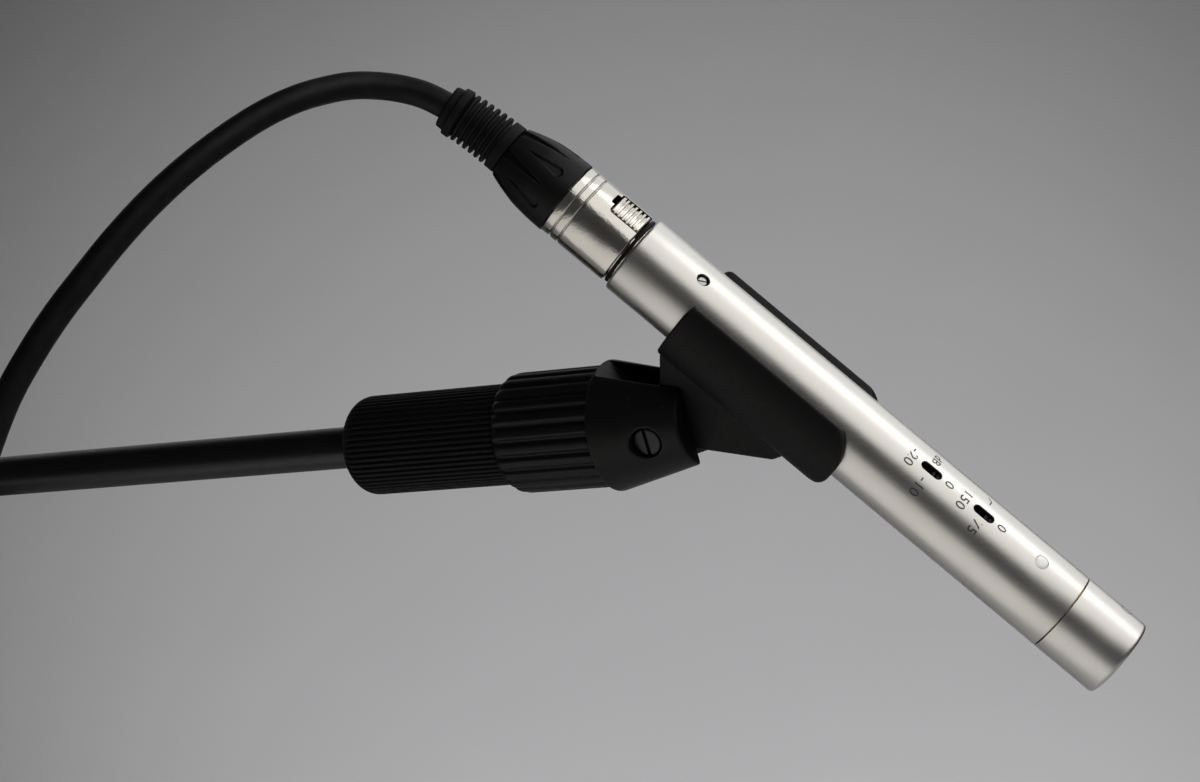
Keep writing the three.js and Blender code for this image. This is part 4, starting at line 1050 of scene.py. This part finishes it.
def mic_body():
    bore = MIC_R - MIC_WALL
    shelf = RECEPTACLE_DEPTH + RECEPTACLE_INSERT + 1
    outline = [
        (RECEPTACLE_R, 0, 0.3),
        (MIC_R, 0, RIM_ROUND),
        (MIC_R, BODY_LENGTH, 0.12),
        (bore, BODY_LENGTH, 0.1),
        (bore, shelf, 0.1),
        (RECEPTACLE_R, shelf, 0.1),
    ]
    body = lathe("mic_tube", filled(soft(outline, 0.3, 5), 12), MARKS, 288)
    clear = MIC_R + 2
    hole_r = SCREW_R + GAP
    screw_hole = [
        (0, RECEPTACLE_R - 1),
        (hole_r, RECEPTACLE_R - 1),
        (hole_r, MIC_R - 0.18),
        (hole_r + 0.25, MIC_R + 0.05),
        (hole_r + 0.25, clear),
        (0, clear),
    ]
    recess_r = DOT_R + GAP
    dot_recess = [(0, MIC_R - 0.65), (recess_r, MIC_R - 0.65), (recess_r, clear), (0, clear)]
    for station in (PAD_STATION, FILTER_STATION):
        carve(body, slot_cutter(station))
    carve(body, radial(screw_hole, SCREW_STATION), radial(dot_recess, DOT_STATION))
    place_piece(body, SATIN_NICKEL, "clip", "satin_nickel", "mic_body", sharp=25, marks=marks())

    dot = [
        (0, MIC_R - 0.6),
        (DOT_R + 0.28, MIC_R - 0.6, 0.05),
        (DOT_R + 0.28, MIC_R - 0.14, 0.12),
        (0.9, MIC_R - 0.02),
        (0, MIC_R + 0.02),
    ]
    dot = radial(soft(dot, 0.1, closed=False), DOT_STATION)
    dot.name = "dot"
    place_piece(dot, ENAMEL, "clip", "enamel", "marker_dot")
    head = MIC_R - 0.75
    screw = [(0, RECEPTACLE_R), (SCREW_R, RECEPTACLE_R, 0.1), (SCREW_R, head, 0.2), (0, head)]
    screw = radial(soft(screw, 0.1, closed=False), SCREW_STATION)
    screw.name = "set_screw"
    across = screw.matrix_world @ spin(35)
    carve(screw, prism("drive", [(-3, -0.2), (3, -0.2), (3, 0.2), (-3, 0.2)], head - 0.5, head + 1, across))
    place_piece(screw, STEEL, "clip", "steel", "insert_screw")


def sliders():
    """The switches' knobs, at the front ends of their slots, with a groove across each for a nail."""
    for name, body, station in (("pad", "pad_switch", PAD_STATION), ("filter", "filter_switch", FILTER_STATION)):
        low, high = 1.6, MIC_R - MIC_WALL * 0.8
        front = station + SLOT_LENGTH / 2 - GAP
        rear = front - 2
        middle = (front + rear) / 2
        nail_groove = [(high, middle + 0.35), (high - 0.4, middle), (high, middle - 0.35)]
        outline = [(low, rear), (low, front), (high, front), *nail_groove, (high, rear)]
        knob = prism(f"{name}_knob", outline, -0.8, 0.8, MARKS, "XZ")
        bevelled(knob, 0.12)
        place_piece(knob, BLACK_PLASTIC, body, "black_plastic", f"{name}_slider")


def capsule():
    rear = BODY_LENGTH + GAP
    front = BODY_LENGTH + CAPSULE_LENGTH
    bore = MIC_R - MIC_WALL
    lip = front - 1
    outline = [
        (bore, rear, 0.1),
        (MIC_R, rear, 0.12),
        (MIC_R, front, 1.1),
        (CAPSULE_LIP_R, front, 0.35),
        (CAPSULE_LIP_R, lip, 0.1),
        (bore, lip, 0.1),
    ]
    shell = lathe("capsule_body", filled(soft(outline, 0.3, 6), 6), MARKS, 288)
    heart = []
    for k in range(40):
        turn = 2 * math.pi * (k + 0.5) / 40
        r = 1.4 * (1 + math.cos(turn)) / 2 + 0.15
        heart.append((r * math.sin(turn) * 1.5, r * math.cos(turn) * 1.5 - 0.6))
    sign = drawn(heart, 0.2, -44, rear + 10.5, closed=True)
    place_piece(shell, SATIN_NICKEL, "capsule", "satin_nickel", "capsule_shell", sharp=25, marks=sign)

    low, high, r = lip - GAP - 0.8, lip - GAP, bore - GAP
    disc = lathe("grille", soft([(0, low), (r, low, 0.1), (r, high, 0.1), (0, high)], closed=False), MIC, 96)
    holes = []
    pitch = 1.75
    for row in range(-4, 5):
        for column in range(-4, 5):
            x = (column + (row % 2) / 2) * pitch
            y = row * pitch * math.sqrt(3) / 2
            if math.hypot(x, y) < 7.1:
                holes.append(rod("hole", 0.55, low - 1, lip, MIC @ shift(x, y, 0), 12))
    carve(disc, join(holes[0], *holes[1:]))
    disc.name = "grille_disc"
    place_piece(disc, SATIN_NICKEL, "capsule", "satin_nickel", "capsule_grille")


# ---------------------------------------------------------------- XLR plugs
def boot_nut(name, place, body, node):
    """The tapered nut, with long flutes open to the rear and a teardrop hollow between each two."""
    stations = [0, 0.23, 0.53, 0.8, 1]
    radii = [9.5, 9.42, 8.98, 7.85, 6.7]
    length = BOOT_NUT_LENGTH
    outside = [(r, share * length, 1.5) for r, share in zip(radii, stations)]
    outside[0] = (9.5, 0, 0.25)
    outside[-1] = (6.7, length, 0.5)
    inside = [
        (5.45, length, 0.2),
        *[(r, z, 0.1) for r, z in ((5.45, length - 3.5), (6.6, length - 3.5), (6.6, 7.5), (7.9, 7.5), (7.9, 0))],
    ]
    count = 6

    def hollowed(r, angle, z):
        if r < 6.65 or z < 0.5:
            return r
        share = z / length
        turn = angle / (2 * math.pi) * count
        flute_from_middle = abs((turn + 0.5) % 1 - 0.5) * 2 * math.pi / count * r
        drop_from_middle = abs(turn % 1 - 0.5) * 2 * math.pi / count * r
        # Flute: a point at a quarter of the way back, widening to the rear edge.
        half = max(0.0, (share - 0.25) / 0.75) * 1.35
        depth = 0.75 * min(1, max(0.0, (half - flute_from_middle) / 0.28)) if half > 0 else 0
        # Teardrop: round near the front, pointed to the rear.
        wide, point, middle_z = 1.25, 0.80, 0.27
        if share < middle_z:
            away = math.hypot((middle_z - share) * length, drop_from_middle)
            inside_drop = wide - away
        else:
            narrowing = wide * (1 - (share - middle_z) / (point - middle_z))
            inside_drop = narrowing - drop_from_middle
        depth = max(depth, 0.55 * min(1, max(0.0, inside_drop / 0.28)))
        return r - depth

    nut = lathe(name, filled(soft([*outside, *inside], 0.2, 5), 0.22), place, 360, hollowed)
    return place_piece(nut, BLACK_PLASTIC, body, "black_plastic", node, sharp=75)


def bend(thing, bend_r, azimuth):
    """Bends what lies past z = 0 round a radius, towards an azimuth."""
    turn = Matrix.Rotation(-math.radians(azimuth), 4, "Z")
    thing.data.transform(turn)
    for vertex in thing.data.vertices:
        x, y, z = vertex.co / MM
        if z > 0:
            r = bend_r - x
            vertex.co = Vector((bend_r - r * math.cos(z / bend_r), y, r * math.sin(z / bend_r))) * MM
    thing.data.transform(turn.inverted())
    return thing


def boot_sleeve(name, place, body, node, bent):
    """The rubber sleeve: a wide front collar, thin rings with deep grooves, and a stepped rear collar."""
    length = BOOT_SLEEVE_LENGTH
    floor, r = BOOT_SLEEVE_R - 1.25, BOOT_SLEEVE_R
    first, count, pitch, thick = 3.6, 6, 1.75, 0.85
    outline = [(3.35, -3, 0.1), (5.1, -3, 0.2), (5.1, 0, 0.1), (r + 0.05, 0, 0.3), (r, 2.7, 0.25), (floor, 2.8, 0.1)]
    for i in range(count):
        z = first + i * pitch
        taper = 0.05 * i
        outline += [(floor - taper, z, 0.12), (r - taper, z + 0.05, 0.3)]
        outline += [(r - taper, z + thick, 0.3), (floor - taper, z + thick + 0.05, 0.12)]
    rear = first + count * pitch
    outline += [(r - 0.1, rear, 0.25), (r - 0.25, rear + 1.9, 0.35), (5.4, rear + 2.0, 0.15)]
    outline += [(5.15, length, 0.5), (3.35, length, 0.15)]
    sleeve = lathe(name, filled(soft(outline, 0.2, 4), 0.5), place, 96)
    if bent:
        bend(sleeve, BOOT_BEND_R, BOOT_BEND_AZIMUTH)
    return place_piece(sleeve, BLACK_RUBBER, body, "black_rubber", node, sharp=60)


def groove(r, z):
    return [(r, z - 0.3, 0.1), (r - 0.28, z, 0.1), (r, z + 0.3, 0.1)]


def mic_plug():
    shell_rear = PLUG_FACE + PLUG_SHELL_LENGTH
    barrel_end = GAP - RECEPTACLE_DEPTH + 3
    outline = [
        (PLUG_BORE_R, barrel_end, 0.2),
        (PLUG_BARREL_R, barrel_end, 0.3),
        (PLUG_BARREL_R, PLUG_FACE, 0.1),
        (PLUG_SHELL_R, PLUG_FACE, 0.4),
        *groove(PLUG_SHELL_R, PLUG_FACE + 13.7),
        *groove(PLUG_SHELL_R, PLUG_FACE + 16),
        (PLUG_SHELL_R, shell_rear, 0.25),
        (PLUG_BORE_R + 0.7, shell_rear, 0.1),
        (PLUG_BORE_R + 0.7, shell_rear + PLUG_SPIGOT, 0.2),
        (PLUG_BORE_R, shell_rear + PLUG_SPIGOT, 0.2),
    ]
    shell = lathe("plug_housing", filled(soft(outline, 0.2, 5), 6), PLUG, 240)
    half, end, r = LATCH_HALF, PLUG_FACE + LATCH_LENGTH, 0.8
    # The window, with a step at its rear for the latch's shoulder.
    window = [
        (-half, PLUG_FACE - 0.4),
        (half, PLUG_FACE - 0.4),
        *arc(half - r, end - r, r, 0, 90, 6),
        (half - 2.2, end),
        *arc(half - 2.6, end + 0.5, 0.5, 0, 90, 3),
        *arc(-half + 2.6, end + 0.5, 0.5, 90, 180, 3),
        (-half + 2.2, end),
        *arc(-half + r, end - r, r, 90, 180, 6),
    ]
    carve(shell, prism("window", window, PLUG_BORE_R - 1.5, PLUG_SHELL_R + 1, PLUG, "YZ"))
    place_piece(shell, BRIGHT_NICKEL, "clip", "bright_nickel", "plug_shell", sharp=25)
    seal = [(PLUG_BARREL_R + GAP, 0.25), (MIC_R - 1.1, 0.25), (MIC_R - 1.1, 1.15), (PLUG_BARREL_R + GAP, 1.15)]
    seal = lathe("seal_ring", soft(seal, 0.3, 5), PLUG, 128)
    place_piece(seal, BLACK_RUBBER, "clip", "black_rubber", "plug_seal")
    boot_nut("boot_nut_body", PLUG @ shift(0, 0, shell_rear + GAP), "clip", "boot_nut")
    face = shell_rear + GAP + BOOT_NUT_LENGTH + GAP
    boot_sleeve("boot_rings", PLUG @ shift(0, 0, face), "clip", "boot_sleeve", True)


def latch():
    """The press lever: a curved plate with ribs across it."""
    z_low, z_high = PLUG_FACE + 0.12, PLUG_FACE + LATCH_LENGTH - GAP
    half_turn = math.asin((LATCH_HALF - GAP) / PLUG_SHELL_R)
    across, along = 24, 120
    r_in = PLUG_SHELL_R - 1.6
    vertices, faces = [], []
    for layer in (0, 1):
        for i in range(along + 1):
            z = z_low + (z_high - z_low) * i / along
            for k in range(across + 1):
                side = k / across * 2 - 1
                r = r_in
                if layer:
                    edge = min((1 - abs(side)) * 3.7, z - z_low, z_high - z)
                    step = (z - z_low - 1.0) / 1.22
                    ribbed = -0.2 < step < 5.0
                    notch = 0.55 * pulse(step, 0.42, 0.18) if ribbed else 0
                    r = PLUG_SHELL_R - 0.02 - notch - 0.35 * max(0, 1 - edge / 0.35) ** 2
                turn = half_turn * side
                vertices.append((r * math.cos(turn), r * math.sin(turn), z))
    row = across + 1
    sheet = row * (along + 1)
    for i in range(along):
        for k in range(across):
            a = i * row + k
            faces.append((a, a + 1, a + row + 1, a + row))
            faces.append((sheet + a, sheet + a + row, sheet + a + row + 1, sheet + a + 1))
    rim = [*range(row), *[i * row + across for i in range(1, along + 1)]]
    rim += [along * row + k for k in range(across - 1, -1, -1)]
    rim += [i * row for i in range(along - 1, 0, -1)]
    for a, b in zip(rim, rim[1:] + rim[:1]):
        faces.append((a, b, b + sheet, a + sheet))
    lever = build("latch_plate", vertices, faces, PLUG)
    return place_piece(lever, BRIGHT_NICKEL, "latch", "bright_nickel", "latch_lever", sharp=50)


def stage_plug():
    """The male plug that hangs from the lead's other end."""
    sleeve_face = -20 - BOOT_SLEEVE_LENGTH
    nut_face = sleeve_face - GAP - BOOT_NUT_LENGTH
    rear = nut_face - GAP
    front = rear - STAGE_SHELL_LENGTH
    web = front + RECEPTACLE_DEPTH + RECEPTACLE_INSERT + 2 * GAP
    r = STAGE_SHELL_R
    outline = [
        (RECEPTACLE_R, front, 0.2),
        (r, front, 0.5),
        (r, front + 17, 0.3),
        (r - 0.35, front + 17.4, 0.2),
        (r - 0.35, front + 18.6, 0.2),
        (r, front + 19, 0.3),
        *groove(r, rear - 4.3),
        *groove(r, rear - 2),
        (r, rear, 0.25),
        (PLUG_BORE_R + 0.7, rear, 0.1),
        (PLUG_BORE_R + 0.7, rear + PLUG_SPIGOT, 0.2),
        (PLUG_BORE_R, rear + PLUG_SPIGOT, 0.2),
        (PLUG_BORE_R, web, 0.1),
        (RECEPTACLE_R, web, 0.1),
    ]
    shell = lathe("stage_housing", filled(soft(outline, 0.2, 5), 6), STAGE, 200)
    catch = [(-1.6, front + 4.2), (1.6, front + 4.2), (1.6, front + 6.6), (-1.6, front + 6.6)]
    carve(shell, prism("catch", catch, RECEPTACLE_R - 1, r + 1, STAGE, "YZ"))
    place_piece(shell, BRIGHT_NICKEL, "boom", "bright_nickel", "stage_shell", sharp=25)
    nut = boot_nut("stage_nut_body", STAGE @ shift(0, 0, nut_face), "boom", "stage_boot_nut")
    sleeve = boot_sleeve("stage_rings", STAGE @ shift(0, 0, sleeve_face), "boom", "stage_boot_sleeve", False)
    return [shell, nut, sleeve]


# ---------------------------------------------------------------- CAD nodes that stay
def carried_nodes():
    """Gives the inner parts, which keep their CAD shapes, their materials."""
    plastic, board, clear, film = BLACK_PLASTIC, circuit_board(), CLEAR_PLASTIC, MEMBRANE
    finishes = {
        "stand_stud": STEEL, "base_thread_insert": BRASS, "xlr_insert": plastic, "circuit_board": board,
        "pad_switch_body": plastic, "filter_switch_body": plastic, "output_transistor": STEEL,
        "output_capacitor": STEEL, "converter_coil": plastic, "front_insulator": clear, "contact_spring": GOLD,
        "capsule_collar": BRASS, "diaphragm_ring": BRASS, "diaphragm": film, "backplate": BRASS,
        "backplate_insulator": clear, "capsule_contact": GOLD, "latch_spring": STEEL, "plug_insert": plastic,
        "cable_clamp": plastic, "stage_cable_clamp": plastic, "stage_insert": plastic,
    }
    for kind in ("xlr_pin", "plug_socket", "stage_pin"):
        finishes.update({f"{kind}_{i}": GOLD for i in (1, 2, 3)})
    for name, material in finishes.items():
        node = frame["nodes"][name]
        node.data.materials.clear()
        node.data.materials.append(material)


boom_rod()
boom_sleeve()
clip_base()
pivot_fasteners()
clip()
mic_body()
sliders()
capsule()
mic_plug()
latch()
tie = coil_tie()
stage_pieces = stage_plug()
carried_nodes()
inner_stage = [frame["nodes"][name] for name in ("stage_cable_clamp", "stage_insert")]
inner_stage += [frame["nodes"][f"stage_pin_{i}"] for i in (1, 2, 3)]


# ---------------------------------------------------------------- stage and light
def backdrop():
    """A pale floor that sweeps up into a round wall, well below and around the object."""
    flat_r, wall_r, sweep = 1.9, 3.6, 1.7
    rows = [(r, FLOOR_Z) for r in (0.0, 0.6, 1.2, flat_r)]
    for k in range(1, 13):
        turn = math.pi / 2 * k / 12
        rows.append((flat_r + (wall_r - flat_r) * math.sin(turn), FLOOR_Z + sweep * (1 - math.cos(turn))))
    rows.append((wall_r, 4.0))
    segments = 96
    vertices = [(0, 0, FLOOR_Z)]
    faces = []
    for r, z in rows[1:]:
        for k in range(segments):
            turn = 2 * math.pi * k / segments
            vertices.append((r * math.cos(turn), r * math.sin(turn), z))
    for k in range(segments):
        n = (k + 1) % segments
        faces.append((0, 1 + k, 1 + n))
        for level in range(len(rows) - 2):
            a = 1 + level * segments
            faces.append((a + k, a + segments + k, a + segments + n, a + n))
    mesh = bpy.data.meshes.new("backdrop")
    mesh.from_pydata(vertices, [], faces)
    sweep_piece = object_from("backdrop", mesh, Matrix.Translation((PIVOT.x, 0, 0)))
    for face in mesh.polygons:
        face.use_smooth = True
    paper = Finish("paper")
    paper.colour(paper.mixed(paper.noise(3, 3), (0.60, 0.60, 0.61), (0.64, 0.64, 0.65)))
    paper.roughness(paper.noise(40, 3), 0.85, 0.95)
    mesh.materials.append(paper.material)


MIC_MIDDLE = MIC @ Vector((0, 0, BODY_LENGTH / 2 * MM))


def hang(light, place, target):
    """Hangs a light there, turned to its target and unseen by the camera."""
    aim = (Vector(target) - Vector(place)).to_track_quat("-Z", "Y")
    lamp = object_from(light.name, light, Matrix.Translation(place) @ aim.to_matrix().to_4x4())
    lamp.visible_camera = False


def softbox(name, place, target, size, watts, colour=(1, 1, 1)):
    light = bpy.data.lights.new(name, "AREA")
    light.shape = "RECTANGLE"
    light.size, light.size_y = size
    light.energy = watts
    light.color = colour
    hang(light, place, target)


def lighting():
    """A broad light from the upper right, weak ones from the lower left and behind, and a pool on the wall."""
    upright = (RIGHT * 0.64 + UP * 0.77).normalized()

    def round_mic(degrees, distance):
        turn = math.radians(degrees)
        return MIC_MIDDLE + (BACK * math.cos(turn) + upright * math.sin(turn)) * distance

    softbox("key", round_mic(58, 0.9), MIC_MIDDLE, (1.3, 0.85), 3.2, (1.0, 0.99, 0.97))
    softbox("back", round_mic(108, 0.9), MIC_MIDDLE, (1.3, 0.9), 3.0, (0.98, 0.99, 1.0))
    softbox("low", round_mic(-66, 0.8), MIC_MIDDLE, (1.1, 0.6), 0.95, (1.0, 0.97, 0.92))
    softbox("behind", MIC_MIDDLE - BACK * 1.2 - RIGHT * 0.3 + UP * 0.55, MIC_MIDDLE, (1.5, 0.9), 1.6)
    underneath = MIC_MIDDLE - UP * 0.15
    softbox("floor", (underneath.x, underneath.y, -0.17), (underneath.x, underneath.y, FLOOR_Z), (2.4, 2.4), 4.5)
    pool = MIC_MIDDLE - BACK * 3.1 + RIGHT * 0.12 - UP * 0.46
    beam = bpy.data.lights.new("wall", "SPOT")
    beam.energy = 135
    beam.spot_size = math.radians(76)
    beam.spot_blend = 1
    beam.shadow_soft_size = 0.1
    hang(beam, pool + BACK * 2.1 + UP * 0.3, pool)
    world = bpy.data.worlds.new("room")
    bpy.context.scene.world = world
    world.use_nodes = True
    sky = world.node_tree.nodes["Background"]
    sky.inputs["Color"].default_value = (0.85, 0.87, 0.90, 1)
    sky.inputs["Strength"].default_value = 0.015
    bpy.context.scene.view_settings.view_transform = "Standard"


backdrop()
lighting()
